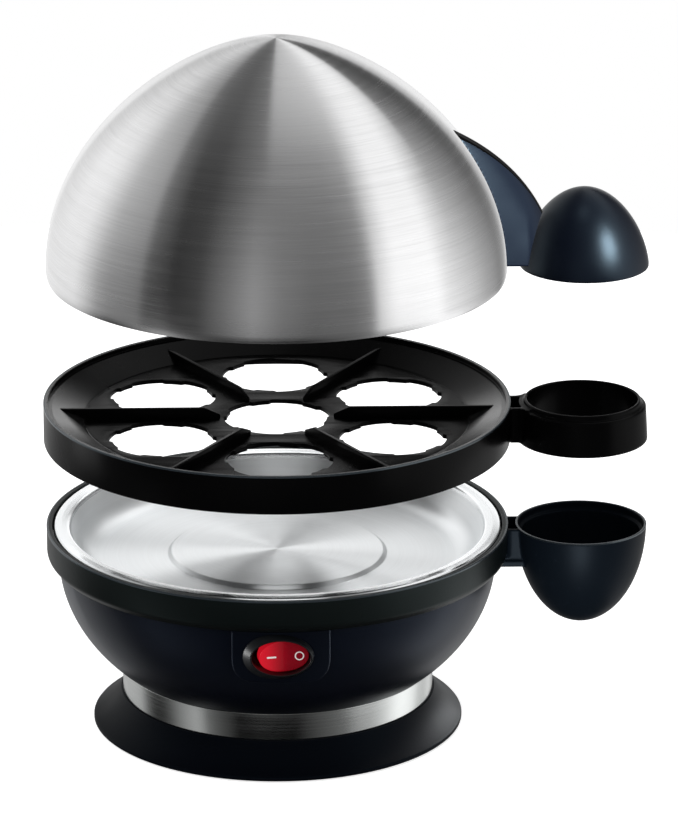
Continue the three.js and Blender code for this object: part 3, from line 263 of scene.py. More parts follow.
# behind the object the backdrop is white, and glossy surfaces show it there as the camera does
behind = ramp(sums("ABSOLUTE", minus(turnShare, 0.5)), studio["behind"])
low = sums("MINIMUM", spread(heightUp, 1, 0, *studio["behindTop"], True),
           spread(heightUp, 0, 1, *studio["behindFoot"], True))
inGloss = times(rays["Is Glossy Ray"], times(behind, low))
whiteShare = most(inGloss, most(rays["Is Camera Ray"], rays["Is Transmission Ray"]))
lit = choose(rays["Is Diffuse Ray"], background(panels), background((studio["plain"],) * 3))
add(sky, "OutputWorld", Surface=choose(whiteShare, lit, background((1, 1, 1))))


def areaLamp(name, place, size, energy, aim=(0, 0, 0.1)):
    data = bpy.data.lights.new(name, "AREA")
    data.shape = "DISK"
    data.size = size
    data.energy = energy
    lamp = bpy.data.objects.new(name, data)
    lamp.location = place
    lamp.rotation_euler = (Vector(place) - Vector(aim)).to_track_quat("Z", "Y").to_euler()
    scene.collection.objects.link(lamp)
    return lamp


overhead = areaLamp("overhead", studio["lampPlace"], studio["lampSize"], studio["lamp"])
overhead.visible_glossy = False
print("studio ready")


# ---- finishes

def startFinish(name, **values):
    material = bpy.data.materials.new(name)
    material.use_nodes = True
    tree = material.node_tree
    shader = fill(tree.nodes["Principled BSDF"], **values)
    return material, tree, shader, add(tree, "TexCoord").outputs["Object"]


def noise(vector, scale, detail=2):
    return add(vector.id_data, "TexNoise", Vector=vector, Scale=scale, Detail=detail).outputs["Fac"]


def grained(shader, height, depth):
    bump = add(shader.id_data, "Bump", Distance=depth * mm, Height=height)
    fill(shader, Normal=bump.outputs["Normal"])


def plastic(name, colour, gloss, grain=0.02, grainScale=900, lift=1.5, level=0.5, sheen=(1, 1, 1)):
    material, tree, shader, place = startFinish(name, Specular_IOR_Level=level, Specular_Tint=sheen)
    # broad patches change the gloss a little, and sharp edges are slightly worn
    patches = noise(place, 35, 3)
    edges = add(tree, "NewGeometry").outputs["Pointiness"]
    mixed = scaled(patches, 0.3, spread(edges, 0, 1, 0.52, 0.62))
    fill(shader, Roughness=spread(patches, gloss - 0.04, gloss + 0.05),
         Base_Color=blended(mixed, colour, tuple(c * lift + 0.0004 for c in colour)))
    grained(shader, noise(place, grainScale, 1), grain)
    return material


def ringLines(place, across, along):
    # long in the direction of turning and narrow across it, on walls and on flats
    x, y, z = apart(place)
    radius = sums("SQRT", plus(times(x, x), times(y, y)))
    return add(place.id_data, "CombineXYZ", X=times(x, along), Y=times(y, along),
               Z=times(minus(z, radius), across)).outputs[0]


def spunSteel(name, colour, gloss, stretch, streaks=0.12, scratch=0.004, across=1400, along=14, rim=None):
    material, tree, shader, place = startFinish(
        name, Metallic=1, Anisotropic=stretch, Anisotropic_Rotation=0.25)
    lines = noise(ringLines(place, across, along), 1, 3)
    broad = noise(ringLines(place, across / 9, along), 1, 2)
    both = scaled(lines, 0.6, times(broad, 0.4))
    rough = spread(both, gloss - 0.05, gloss + 0.06)
    if rim:  # the rolled rim, from this height upwards, is polished
        rough = times(rough, spread(apart(place)["Z"], 1, 0.55, (rim - 1) * mm, rim * mm))
    tangent = add(tree, "Tangent")
    tangent.direction_type = "RADIAL"
    tangent.axis = "Z"
    dark, light = [tuple(min(1, c * (1 + part)) for c in colour) for part in (-streaks, streaks)]
    fill(shader, Roughness=rough, Base_Color=blended(spread(both, 0, 1), dark, light),
         Tangent=tangent.outputs[0])
    grained(shader, lines, scratch)
    return material


def plainMetal(name, colour, gloss):
    material, tree, shader, place = startFinish(name, Metallic=1)
    patches = noise(place, 60, 4)
    fill(shader, Roughness=spread(patches, gloss - 0.08, gloss + 0.1),
         Base_Color=blended(patches, tuple(c * 0.85 for c in colour), colour))
    grained(shader, noise(place, 1500, 2), 0.01)
    return material


brushedLid = spunSteel("brushedLid", (0.84, 0.84, 0.845), 0.23, 1.0, 0.1, 0.007, across=2600, along=26)
brushedBand = spunSteel("brushedBand", (0.70, 0.72, 0.71), 0.2, 0.85, 0.05)
spunPan = spunSteel("spunPan", (0.84, 0.86, 0.87), 0.34, 0.95, 0.05, rim=rimHeight - 1)
plainSteel = plainMetal("plainSteel", (0.6, 0.61, 0.62), 0.4)
aluminium = plainMetal("aluminium", (0.7, 0.71, 0.72), 0.48)
brass = plainMetal("brass", (0.66, 0.46, 0.18), 0.36)
deepBlue, paleBlue = (0.5, 0.68, 1), (0.55, 0.78, 1)  # tints of the sheen
collarBlack = plastic("collarBlack", (0.0022, 0.0036, 0.0036), 0.38, level=0.3, sheen=(0.75, 0.95, 0.95))
bowlNavy = plastic("bowlNavy", (0.0022, 0.0028, 0.0065), 0.36, 0.006, level=0.32, sheen=deepBlue)
cupBlack = plastic("cupBlack", (0.002, 0.0032, 0.005), 0.4, level=0.05, sheen=(0.65, 0.82, 1))
skirtBlack = plastic("skirtBlack", (0.0015, 0.002, 0.0035), 0.42, level=0.05, sheen=paleBlue)
trayBlack = plastic("trayBlack", (0.0012, 0.0012, 0.0013), 0.24, 0.005, level=0.05)
handleNavy = plastic("handleNavy", (0.0006, 0.0009, 0.0036), 0.34, 0.01, level=0.36, sheen=(0.58, 0.82, 1))
# glossy, and lighter than the dark plastics it edges: the lighter colour is a painted highlight
glossyPaintedHighlight = plastic("glossyPaintedHighlight", (0.012, 0.016, 0.02), 0.22, 0.002, level=1.0, sheen=(0.8, 0.93, 1))
panelNavy = plastic("panelNavy", (0.0015, 0.002, 0.004), 0.36, 0.006, level=0.15, sheen=deepBlue)
bezelBlack = plastic("bezelBlack", (0.002, 0.003, 0.004), 0.34, 0.004, level=0.6)
ridgeBlack = plastic("ridgeBlack", (0.001, 0.001, 0.0012), 0.3, 0.004, level=0.3)
coverBlack = plastic("coverBlack", (0.008, 0.008, 0.009), 0.6, 0.05, 600)
rubberBlack = plastic("rubberBlack", (0.015, 0.015, 0.016), 0.8, 0.05, 500)
sealWhite = plastic("sealWhite", (0.72, 0.71, 0.68), 0.55, lift=1.05)
connectorWhite = plastic("connectorWhite", (0.7, 0.68, 0.63), 0.5, lift=1.05)
markWhite = plastic("markWhite", (0.85, 0.80, 0.78), 0.4, lift=1.02)
lampGlass = plastic("lampGlass", (0.8, 0.42, 0.22), 0.1, 0.002, lift=1.1)
rockerRed = plastic("rockerRed", (0.16, 0.0005, 0.006), 0.16, 0.002, lift=1.25)
# painted light: the rocker's left half is made to glow red, fading out towards the right, as a stand-in for
# the light and highlight on that half
glow = {"colour": (1, 0.012, 0.03), "left": 0.5, "right": 0.04, "start": -8.5, "end": 4}
redTree = rockerRed.node_tree
paintedGlowStrength = spread(apart(add(redTree, "TexCoord").outputs["Object"])["X"], glow["left"], glow["right"],
                  glow["start"] * mm, glow["end"] * mm, True)
fill(redTree.nodes["Principled BSDF"], Coat_Weight=0.3, Coat_Roughness=0.08, Emission_Color=glow["colour"],
     Emission_Strength=paintedGlowStrength)
print("finishes ready")


# ---- mesh helpers

def newPiece(name, mesh, material=None):
    piece = bpy.data.objects.new(name, mesh)
    scene.collection.objects.link(piece)
    if material:
        mesh.materials.clear()
        mesh.materials.append(material)
    return piece


def closeSkin(mesh):
    work = bmesh.new()
    work.from_mesh(mesh)
    bmesh.ops.remove_doubles(work, verts=work.verts, dist=1e-7)
    bmesh.ops.recalc_face_normals(work, faces=work.faces)
    work.to_mesh(mesh)
    work.free()
    return mesh


def meshOf(name, points, faces):
    mesh = bpy.data.meshes.new(name)
    mesh.from_pydata([tuple(c * mm for c in point) for point in points], [], faces)
    return closeSkin(mesh)


def soften(piece, angle=38):
    piece.data.shade_smooth()
    piece.data.set_sharp_from_angle(angle=radians(angle))
    return piece


def rounded(corners, steps=6):
    # a third number on a corner is the radius that it is rounded to
    path = []
    for i, corner in enumerate(corners):
        here = Vector(corner[:2])
        radius = corner[2] if len(corner) > 2 else 0
        if not radius:
            path.append(tuple(here))
            continue
        back = Vector(corners[i - 1][:2]) - here
        ahead = Vector(corners[(i + 1) % len(corners)][:2]) - here
        half = back.angle(ahead) / 2
        cut = min(radius / tan(half), 0.48 * back.length, 0.48 * ahead.length)
        start, end = here + back.normalized() * cut, here + ahead.normalized() * cut
        for k in range(steps + 1):
            t = k / steps
            path.append(tuple((1 - t) ** 2 * start + 2 * t * (1 - t) * here + t * t * end))
    return path


def bent(start, bend, end, steps):
    curve = []
    for t in (i / steps for i in range(steps + 1)):
        curve.append(tuple((1 - t) ** 2 * a + 2 * t * (1 - t) * b + t * t * c
                           for a, b, c in zip(start, bend, end)))
    return curve


def bridged(rings, closed):
    faces = []
    pairs = zip(rings, rings[1:] + rings[:1]) if closed else zip(rings, rings[1:])
    for first, second in pairs:
        count = max(len(first), len(second))
        for i in range(count if count > 1 else 0):
            k = (i + 1) % count
            if len(first) == 1:
                faces.append((first[0], second[i], second[k]))
            elif len(second) == 1:
                faces.append((first[i], second[0], first[k]))
            else:
                faces.append((first[i], second[i], second[k], first[k]))
    return faces


def turned(name, profile, steps=288, centre=0, material=None):
    points, rings = [], []
    for radius, height in profile:
        count = 1 if radius < 1e-6 else steps
        rings.append(range(len(points), len(points) + count))
        for i in range(count):
            angle = 2 * pi * i / count
            points.append((centre + radius * cos(angle), radius * sin(angle), height))
    piece = newPiece(name, meshOf(name, points, bridged(rings, True)), material)
    return soften(piece, 55) if material else piece


def drum(name, radius, low, high, steps=288, centre=0):
    return turned(name, [(0, low), (radius, low), (radius, high), (0, high)], steps, centre)


def lofted(name, sections, closed=False):
    count = len(sections[0])
    points = [point for section in sections for point in section]
    rings = [range(i * count, (i + 1) * count) for i in range(len(sections))]
    faces = bridged(rings, closed)
    if not closed:
        faces += [tuple(rings[0]), tuple(rings[-1])]
    return newPiece(name, meshOf(name, points, faces))


def prism(name, outline, low, high, axis="Z"):
    return lofted(name, [[(a, b, level) if axis == "Z" else (a, level, b) for a, b in outline]
                         for level in (low, high)])


def oval(halfWidth, halfHeight, x=0, z=0, steps=96):
    return [(x + halfWidth * cos(2 * pi * i / steps),
             z + halfHeight * sin(2 * pi * i / steps)) for i in range(steps)]


def drop(*objects):
    for one in objects:
        bpy.data.objects.remove(one)


def plainMesh(piece, name, material, angle=38):
    graph = bpy.context.evaluated_depsgraph_get()
    mesh = bpy.data.meshes.new_from_object(piece.evaluated_get(graph), depsgraph=graph)
    drop(piece)
    mesh.name = name
    return soften(newPiece(name, mesh, material), angle)


def flatPiece(name, outlines, thickness, edge, material=None):
    # a flat sheet with rounded edges, lying on z 0 with its holes as further outlines
    flat = bpy.data.curves.new(name, "CURVE")
    flat.dimensions = "2D"
    flat.fill_mode = "BOTH"
    flat.extrude = (thickness / 2 - edge) * mm
    flat.bevel_depth = edge * mm
    flat.bevel_resolution = 2
    flat.offset = -edge * mm
    for outline in outlines:
        path = flat.splines.new("POLY")
        path.points.add(len(outline) - 1)
        for point, (a, b) in zip(path.points, outline):
            point.co = (a * mm, b * mm, 0, 1)
        path.use_cyclic_u = True
    holder = bpy.data.objects.new(name, flat)
    scene.collection.objects.link(holder)
    piece = plainMesh(holder, name, material)
    closeSkin(piece.data)
    return soften(piece)


def combine(first, added=(), cutters=(), shared=()):
    steps = [(o, "UNION") for o in added] + [(o, "INTERSECT") for o in shared]
    for other, operation in steps + [(o, "DIFFERENCE") for o in cutters]:
        step = first.modifiers.new(operation, "BOOLEAN")
        step.operation = operation
        step.object = other
        step.solver = "MANIFOLD"
    return first


def carved(name, material, first, added=(), cutters=(), shared=(), angle=40):
    piece = plainMesh(combine(first, added, cutters, shared), name, material, angle)
    drop(*added, *cutters, *shared)
    return piece


def moulded(name, material, first, added=(), cutters=(), grain=0.45, passes=6):
    combine(first, added, cutters)
    remesh = first.modifiers.new("voxels", "REMESH")
    remesh.mode = "VOXEL"
    remesh.voxel_size = grain * mm
    smooth = first.modifiers.new("soften", "SMOOTH")
    smooth.factor = 0.5
    smooth.iterations = passes
    piece = plainMesh(first, name, material, 180)
    drop(*added, *cutters)
    return piece


def highlightBead(name, radius, top, width, proud, rise, corner, depth, steps=288, centre=0):
    # a thin glossy bead along a moulding's upper edge, lighter in colour than the moulding: a painted
    # highlight line
    inner, outer = radius - width, radius + proud
    return turned(name, rounded([(inner, top - 0.5), (inner, top + rise, 0.1), (outer, top + rise, corner),
                                 (outer, top - depth)], 4), steps, centre, glossyPaintedHighlight)


def rideOn(piece, body, slot, *replaced):
    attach(piece, body)
    if replaced:
        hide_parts(*replaced)
    return piece


# ---- geometry node helpers

def nodeShape(name, build, sizes, material=None, change=None, angle=38):
    # the shape that a function builds with nodes from the given sizes
    tree = bpy.data.node_groups.new(name, "GeometryNodeTree")
    tree.is_modifier = True
    for way in ("INPUT", "OUTPUT"):
        tree.interface.new_socket("Geometry", in_out=way, socket_type="NodeSocketGeometry")
    for label, value in sizes.items():
        kind = {int: "Int", float: "Float"}.get(type(value), "Object")
        tree.interface.new_socket(label, in_out="INPUT", socket_type="NodeSocket" + kind)
    geometry = build(tree, tree.nodes.new("NodeGroupInput").outputs)
    finished = grow(tree, "SetMaterial", Geometry=geometry, Material=material)
    fill(tree.nodes.new("NodeGroupOutput"), Geometry=finished.outputs["Geometry"])
    holder = newPiece(name + "Holder", bpy.data.meshes.new(name))
    modifier = holder.modifiers.new("shape", "NODES")
    modifier.node_group = tree
    for item in tree.interface.items_tree:
        if item.in_out == "INPUT" and item.name in sizes:
            modifier[item.identifier] = sizes[item.name]
    if change:
        change(holder)
    return plainMesh(holder, name, material, angle)


def repeated(tree, points, part, **values):
    info = grow(tree, "ObjectInfo", Object=part)
    placed = grow(tree, "InstanceOnPoints", Points=points.outputs["Mesh"],
                  Instance=info.outputs["Geometry"], **values)
    return grow(tree, "RealizeInstances", Geometry=placed.outputs["Instances"]).outputs["Geometry"]


def spokes(tree, given):
    circle = grow(tree, "MeshCircle", Vertices=given["Count"], Radius=given["Radius"])
    index = grow(tree, "InputIndex").outputs[0]
    turn = add(tree, "CombineXYZ", Z=times(index, over(2 * pi, given["Count"])))
    real = repeated(tree, circle, given["Part"], Rotation=turn.outputs[0])
    spin = add(tree, "CombineXYZ", Z=given["Spin"])
    return grow(tree, "Transform", Geometry=real, Rotation=spin.outputs[0]).outputs["Geometry"]


def repeatRound(part, name, count, radius, material=None, spin=0.0):
    # copies of a part on a circle about the axis, each turned with its place on it
    sizes = {"Count": count, "Radius": radius * mm, "Spin": spin, "Part": part}
    piece = nodeShape(name, spokes, sizes, material)
    drop(part)
    return piece


def eggProfile(radius, height, sidePower, tipPower, base, steps=48):
    points = []
    for i in range(steps + 1):
        t = i / steps * pi / 2
        r = 0 if i == steps else radius * cos(t) ** (2 / tipPower)
        points.append((r, base + height * sin(t) ** (2 / sidePower)))
    return points


# ---- lid: an egg-shaped dome that follows one rule from its edge to its tip

lid = {
    "radius": highest("lid_dome").y,
    "tuckHeight": 3.2,
    "tuck": 0.45,
    "sidePower": 1.976,
    "tipPower": 1.609,
    "wall": 0.8,
    "ventRadius": 2.2,
    "ventRise": 60,
    "ventTurn": 115,
    "stepsRound": 288,
    "stepsUp": 160,
}
lidEquator = lidEdge + lid["tuckHeight"]
lidHeight = highest("lid_dome").z - lidEquator


def lidRadiusAt(height):
    rise = max(0, (height - lidEquator) / lidHeight)
    return lid["radius"] * (1 - rise ** lid["sidePower"]) ** (1 / lid["tipPower"])


def lidSkin(tree, given):
    grid = grow(tree, "MeshGrid", Size_X=1.0, Size_Y=1.0,
                Vertices_X=given["StepsRound"], Vertices_Y=given["StepsUp"])
    x, y, z = apart(grow(tree, "InputPosition").outputs[0])
    turn = times(plus(x, 0.5), 2 * pi)
    along = plus(y, 0.5)
    # the first share of the way up is the edge that tucks in, and the rest is the egg's curve
    share = given["TuckShare"]
    tucked = most(minus(1, over(along, share)), 0)
    above = most(minus(along, share), 0)
    lean = times(over(above, minus(1, share)), pi / 2)
    inwards = power(most(sums("COSINE", lean), 0), over(2, given["TipPower"]))
    upwards = power(sums("SINE", lean), over(2, given["SidePower"]))
    pull = times(power(tucked, 2.2), given["Tuck"])
    radius = minus(times(inwards, given["Radius"]), pull)
    rise = scaled(upwards, given["Height"], given["Base"])
    spot = add(tree, "CombineXYZ",
               X=times(radius, sums("COSINE", turn)),
               Y=times(radius, sums("SINE", turn)),
               Z=minus(rise, times(tucked, given["TuckHeight"])))
    moved = grow(tree, "SetPosition", Geometry=grid.outputs["Mesh"], Position=spot.outputs[0])
    return grow(tree, "MergeByDistance", Geometry=moved.outputs[0], Distance=2e-5).outputs[0]


lidSizes = {
    "Radius": lid["radius"] * mm, "Height": lidHeight * mm, "Base": lidEquator * mm,
    "Tuck": lid["tuck"] * mm, "TuckHeight": lid["tuckHeight"] * mm, "TuckShare": 8 / lid["stepsUp"],
    "SidePower": lid["sidePower"], "TipPower": lid["tipPower"],
    "StepsRound": lid["stepsRound"] + 1, "StepsUp": lid["stepsUp"] + 1,
}
ventHeight = lidEdge + lid["ventRise"]
ventLean = atan2(lidRadiusAt(ventHeight - 0.5) - lidRadiusAt(ventHeight + 0.5), 1)
ventCutter = drum("ventCutter", lid["ventRadius"], -6, 6, 48)
ventCutter.data.transform(
    Matrix.Rotation(radians(lid["ventTurn"]), 4, "Z")
    @ Matrix.Translation((lidRadiusAt(ventHeight) * mm, 0, ventHeight * mm))
    @ Matrix.Rotation(pi / 2 - ventLean, 4, "Y"))


def wallAndVent(holder):
    wall = holder.modifiers.new("wall", "SOLIDIFY")
    wall.thickness = lid["wall"] * mm
    wall.offset = -1
    combine(holder, cutters=[ventCutter])


lidShell = nodeShape("lidShell", lidSkin, lidSizes, brushedLid, wallAndVent)
drop(ventCutter)
rideOn(lidShell, "lid", "brushed_steel", "lid_dome")
print("lid ready")


# ---- lid handle: a fin that leaves the dome and ends in a hollow half egg

handle = {
    "knobRadius": cupRadius - 0.5,
    "knobLift": 2.4,
    "knobHeight": 30.1,
    "knobSidePower": 1.57,
    "knobTipPower": 1.95,
    "knobWall": 1.8,
    "finFoot": 4.9,
    "finRise": 56,
    "finFootWidth": 22,
    "finShoulder": 11,
    "finRoundStart": 22,
    "finRoundLength": 8,
    "ridgeWidth": 3.2,
    "voxel": 0.4,
}
knobBottom = lidEdge + handle["knobLift"]


def knobCurve(inset, steps=72):
    return eggProfile(handle["knobRadius"] - inset, handle["knobHeight"] - inset,
                      handle["knobSidePower"], handle["knobTipPower"], knobBottom, steps)


finTop = lidEdge + handle["finRise"]
finCrease = knobBottom + 0.625 * handle["knobHeight"]
finEnd = reach - 0.592 * cupRadius
finStart = lidRadiusAt(finTop) - 4
finFoot = lidEdge + handle["finFoot"]
bend = (finEnd - handle["finShoulder"], finCrease + 0.7 * (finTop - finCrease))
ridge = bent((finStart, finTop + 1.4), bend, (finEnd, finCrease), 72)


def finHalfWidth(x, rise):
    closing = max(0, x - (reach - handle["finRoundStart"])) / handle["finRoundLength"]
    return handle["finFootWidth"] / 2 * sqrt(1 - closing ** 2) * max(0, 1 - rise ** 1.3) ** (1 / 1.6)


def finSection(x, top, steps=24):
    section = []
    for k in range(-steps, steps + 1):
        rise = cos(k / steps * pi / 2)
        side = (k > 0) - (k < 0)
        section.append((x, side * finHalfWidth(x, rise), finFoot + rise * (top - finFoot)))
    return section


def ridgeSection(x, top):
    half = handle["ridgeWidth"] / 2
    return [(x, share * half, top + rise) for share, rise in (
        (-1, -2.2), (-1, -0.75), (-0.5, -0.1), (0, 0.05), (0.5, -0.1), (1, -0.75), (1, -2.2))]


def domeCutter():
    # it ends half way through the dome's wall, so that no cut edge shows
    inset = lid["wall"] / 2
    curve = eggProfile(lid["radius"] - inset, lidHeight - inset, lid["sidePower"], lid["tipPower"],
                       lidEquator, 90)
    return turned("domeCutter", [(0, lidEdge - 1), (lid["radius"] - inset, lidEdge - 1)] + curve, 240)


knobRim = [(handle["knobRadius"] - 0.4, knobBottom), (handle["knobRadius"] - 0.1, knobBottom + 0.12)]
lidKnob = turned("lidKnob", knobRim + knobCurve(0)[3:] + knobCurve(handle["knobWall"])[::-1],
                 192, reach, handleNavy)
rideOn(lidKnob, "lid", "satin_black", "lid_handle")
finSolid = lofted("fin", [finSection(*p) for p in ridge])
core = knobCurve(handle["knobWall"] / 2, 48)
knobCore = turned("knobCore", [(0, knobBottom - 1), (core[0][0], knobBottom - 1)] + core, 144, reach)
lidFin = moulded("lidFin", handleNavy, finSolid, cutters=[knobCore, domeCutter()],
                 grain=handle["voxel"], passes=4)
rideOn(lidFin, "lid", "satin_black")
# a black strip laid along the fin's ridge, for the dark band that runs along it
finRidge = carved("finRidge", ridgeBlack, lofted("ridge", [ridgeSection(*p) for p in ridge[:-2]]),
                  cutters=[domeCutter()], angle=30)
rideOn(finRidge, "lid", "satin_black")
for piece in (lidKnob, lidFin, finRidge, nodes["handle_screw_lower"], nodes["handle_screw_upper"]):
    piece.visible_glossy = False  # the lid's steel shows the studio, not its own handle
print("lid handle ready")


# ---- channel arms, shared by the collar's cup and the tray's ring

arm = {"width": 16, "wall": 1.8, "floorDepth": 5, "fillet": 2.2, "ringFillet": 5}


def armOutline(nearX, farX, half=arm["width"] / 2, flare=0.0, farRadius=0.0):
    # seen from above: it widens to the body by its fillet, and to the ring at the far end
    side = [(nearX, half)]
    if flare:
        side = [(nearX + flare * (1 - cos(a)), half + flare * (1 - sin(a)))
                for a in (pi / 2 * k / 6 for k in range(7))]
    if farRadius:
        turnRadius = arm["ringFillet"]
        middle = farX - sqrt((farRadius + turnRadius) ** 2 - (half + turnRadius) ** 2)
        meet = atan2(half + turnRadius, farX - middle)
        side = [p for p in side if p[0] < middle]
        side += [(middle + turnRadius * sin(a), half + turnRadius * (1 - cos(a)))
                 for a in ((pi / 2 - meet) * k / 8 for k in range(9))]
        half = side[-1][1]
    side.append((farX, half))
    return side + [(x, -y) for x, y in side[::-1]]


def channelCutter(name, startX, top, bodyWall, ringWall):
    trough = prism("trough", armOutline(startX, reach, arm["width"] / 2 - arm["wall"]),
                   top - arm["floorDepth"], top + 1)
    drums = [drum("drum", radius, top - 20, top + 9, 256, centre)
             for radius, centre in ((bodyWall, 0), (ringWall, reach))]
    return carved(name, None, trough, cutters=drums)


# ---- egg tray

tray = {
    "wall": 1.7,
    "seatDepth": 1.7,
    "seatWidth": 1.5,
    "plateDepth": 6.8,
    "slopeWidth": 12,
    "plate": 1.6,
    "holeRadius": 20.2,
    "holeMiddle": 23.4,  # from the edge of the flat plate to the middle of an outer hole
    "teeth": 6,
    "toothDepth": 1.2,
    "ribs": 6,
    "ribThickness": 1.5,
    "ribGap": 1.3,
    "ribDrop": 1.3,
    "ringFlare": 0.8,
    "ringWall": 3.2,
    "ringDip": 0.6,
    "lipHeight": 2,
    "lipWall": 1.5,
    "voxel": 0.36,
}
trayRadius = highest("egg_tray").y
trayBore = trayRadius - tray["wall"]
seatTop = trayTop - tray["seatDepth"]
plateUp = trayTop - tray["plateDepth"]
plateDown = plateUp - tray["plate"]
slopeTop = trayBore - tray["seatWidth"]
plateRadius = slopeTop - tray["slopeWidth"]
eggPitch = plateRadius - tray["holeMiddle"]

trayRim = turned("trayRim", rounded([
    (plateRadius - 1, plateDown), (plateRadius + 0.5, plateDown, 3),
    (slopeTop - 0.6, seatTop - tray["plate"], 1), (trayBore, seatTop - 1.6 * tray["plate"], 0.6),
    (trayBore, trayBottom, 0.3), (trayRadius, trayBottom, 0.5), (trayRadius, trayTop, 0.55),
    (trayBore, trayTop, 0.5), (trayBore, seatTop, 0.3), (slopeTop, seatTop, 0.6),
    (plateRadius + 0.3, plateUp + 0.3, 0.6), (plateRadius, plateUp, 0.2), (plateRadius - 1, plateUp),
]), material=trayBlack)


def eggHoleOutline(centreX, centreY, turn, steps=10):
    points = []
    stretches = [(tray["holeRadius"], 0.015, 0.585), (tray["holeRadius"] - tray["toothDepth"], 0.635, 0.965)]
    for i in range(tray["teeth"]):
        for radius, start, end in stretches:
            for k in range(steps + 1):
                angle = turn + (i + start + (end - start) * k / steps) / tray["teeth"] * 2 * pi
                points.append((centreX + radius * cos(angle), centreY + radius * sin(angle)))
    return points


holeTurns = [(0, 0, 0)] + [(eggPitch * cos(a), eggPitch * sin(a), a)
                           for a in (pi / 6 + k * pi / 3 for k in range(6))]
trayPlate = flatPiece(
    "trayPlate", [oval(plateRadius, plateRadius, steps=288)] + [eggHoleOutline(*h) for h in holeTurns],
    tray["plate"], 0.22, trayBlack)
trayPlate.data.transform(Matrix.Translation((0, 0, (plateUp + plateDown) / 2 * mm)))

ribStart = tray["holeRadius"] + tray["ribGap"]
ribTop = seatTop - tray["ribDrop"]
ribHeight = ribTop - plateUp
ribEnd = plateRadius + (ribTop - plateUp) / (seatTop - plateUp) * tray["slopeWidth"]
rib = flatPiece("rib", [[
    (ribStart, plateUp - 0.8), (ribStart, plateUp + 0.3 * ribHeight), (ribStart + 1.6 * ribHeight, ribTop),
    (ribEnd + 0.3, ribTop), (ribEnd, ribTop - 0.9), (plateRadius, plateUp - 0.8),
]], tray["ribThickness"], 0.25)
rib.data.transform(Matrix.Rotation(pi / 2, 4, "X"))
trayRibs = repeatRound(rib, "trayRibs", tray["ribs"], 1e-4, trayBlack)

ringShoulder = cupRadius - tray["ringFlare"]
ringInner = ringShoulder - tray["ringWall"]
shoulderTop = seatTop - tray["ringDip"]
lipTop = shoulderTop + tray["lipHeight"]
lipOuter = ringInner + tray["lipWall"]
ringSolid = turned("ringSolid", rounded([
    (ringInner, ringBottom, 0.3), (cupRadius, ringBottom, 0.7), (ringShoulder, shoulderTop, 0.8),
    (lipOuter, shoulderTop, 0.5), (lipOuter - 0.3, lipTop, 0.5), (ringInner, lipTop, 0.4)], 4), 144, reach)
armLow = trayBottom - 0.7
armBar = prism("armBar", armOutline(trayRadius - 0.9, reach, flare=arm["fillet"], farRadius=ringShoulder),
               armLow, seatTop)
underTray = drum("underTray", trayRadius + 0.05, armLow - 9, trayBottom + 0.1)
ringHole = drum("ringHole", ringInner, ringBottom - 1, lipTop + 3, 144, reach)
trayRing = moulded(
    "trayRing", trayBlack, armBar, [ringSolid],
    [channelCutter("trayChannel", trayRadius - 0.1, seatTop, trayRadius, ringShoulder), ringHole, underTray],
    tray["voxel"], 3)
# a painted highlight line along the tray's top edge
trayEdge = highlightBead("trayEdge", trayRadius, trayTop, 0.7, 0.04, 0.05, 0.25, 0.6)
rideOn(trayEdge, "tray", "tray_black")
rideOn(trayRim, "tray", "tray_black", "egg_tray")
for piece in (trayPlate, trayRibs, trayRing):
    rideOn(piece, "tray", "tray_black")
print("tray ready")


# ---- collar with its arm, which ends in a measuring cup

collar = {
    "wall": 2.1,
    "ledgeDepth": 4.9,
    "ledgeThickness": 2.2,
    "ledgeWidth": 5.4,
    "overhang": 4.5,
    "cupDepth": 39,
    "cupWall": 1.6,
    "cupStep": 3,
    "cupStepWidth": 1.3,
    "armHeight": 14.9,
    "armRidge": 2.4,
    "voxel": 0.41,
}
bowlRadius = bodyRadius - collar["overhang"]
collarInner = bodyRadius - collar["wall"]
ledgeTop = rimHeight - collar["ledgeDepth"]
ledgeBottom = ledgeTop - collar["ledgeThickness"]
ledgeInner = collarInner - collar["ledgeWidth"]
collarRing = turned("collarRing", rounded([
    (bowlRadius + 0.3, collarBottom, 0.3), (bodyRadius - 2.2, collarBottom, 1.5),
    (bodyRadius, collarBottom + 2.6, 3), (bodyRadius, rimHeight, 0.6), (collarInner, rimHeight, 0.4),
    (collarInner, ledgeTop, 0.3), (ledgeInner, ledgeTop, 0.4), (ledgeInner, ledgeBottom, 0.3),
    (bowlRadius + 0.3, ledgeBottom, 0.3),
]), material=collarBlack)
rideOn(collarRing, "base", "satin_black", "collar")

cupLip = collar["cupWall"] - 0.5
cupFloor = cupTop - collar["cupStep"]
cupWall = eggProfile(cupRadius, -collar["cupDepth"], 2, 2, cupTop)
cupInside = eggProfile(cupRadius - cupLip - collar["cupStepWidth"],
                       collar["cupWall"] + collar["cupStep"] - collar["cupDepth"], 2, 2, cupFloor)
cupHollow = turned("cupHollow", [(0, cupTop + 1), (cupRadius - cupLip, cupTop + 1),
                                 (cupRadius - cupLip, cupFloor)] + cupInside, 144, reach)
armBottom = cupTop - collar["armHeight"]
cupBar = prism("cupBar", armOutline(bodyRadius - 1, reach, flare=arm["fillet"]), collarBottom + 1, cupTop)
cupHeel = prism("cupHeel", armOutline(bowlRadius - 0.5, reach), armBottom, collarBottom + 2)
heelStep = prism("heelStep", armOutline(bowlRadius - 0.5, reach, arm["width"] / 2 + 0.7),
                 armBottom, armBottom + collar["armRidge"])
cupSolid = turned("cupSolid", [(0, cupTop)] + cupWall, 144, reach)
collarCup = moulded(
    "collarCup", cupBlack, cupBar, [cupHeel, heelStep, cupSolid],
    [channelCutter("cupChannel", bodyRadius - 0.1, cupTop, bodyRadius, cupRadius - 0.05), cupHollow],
    collar["voxel"], 2)
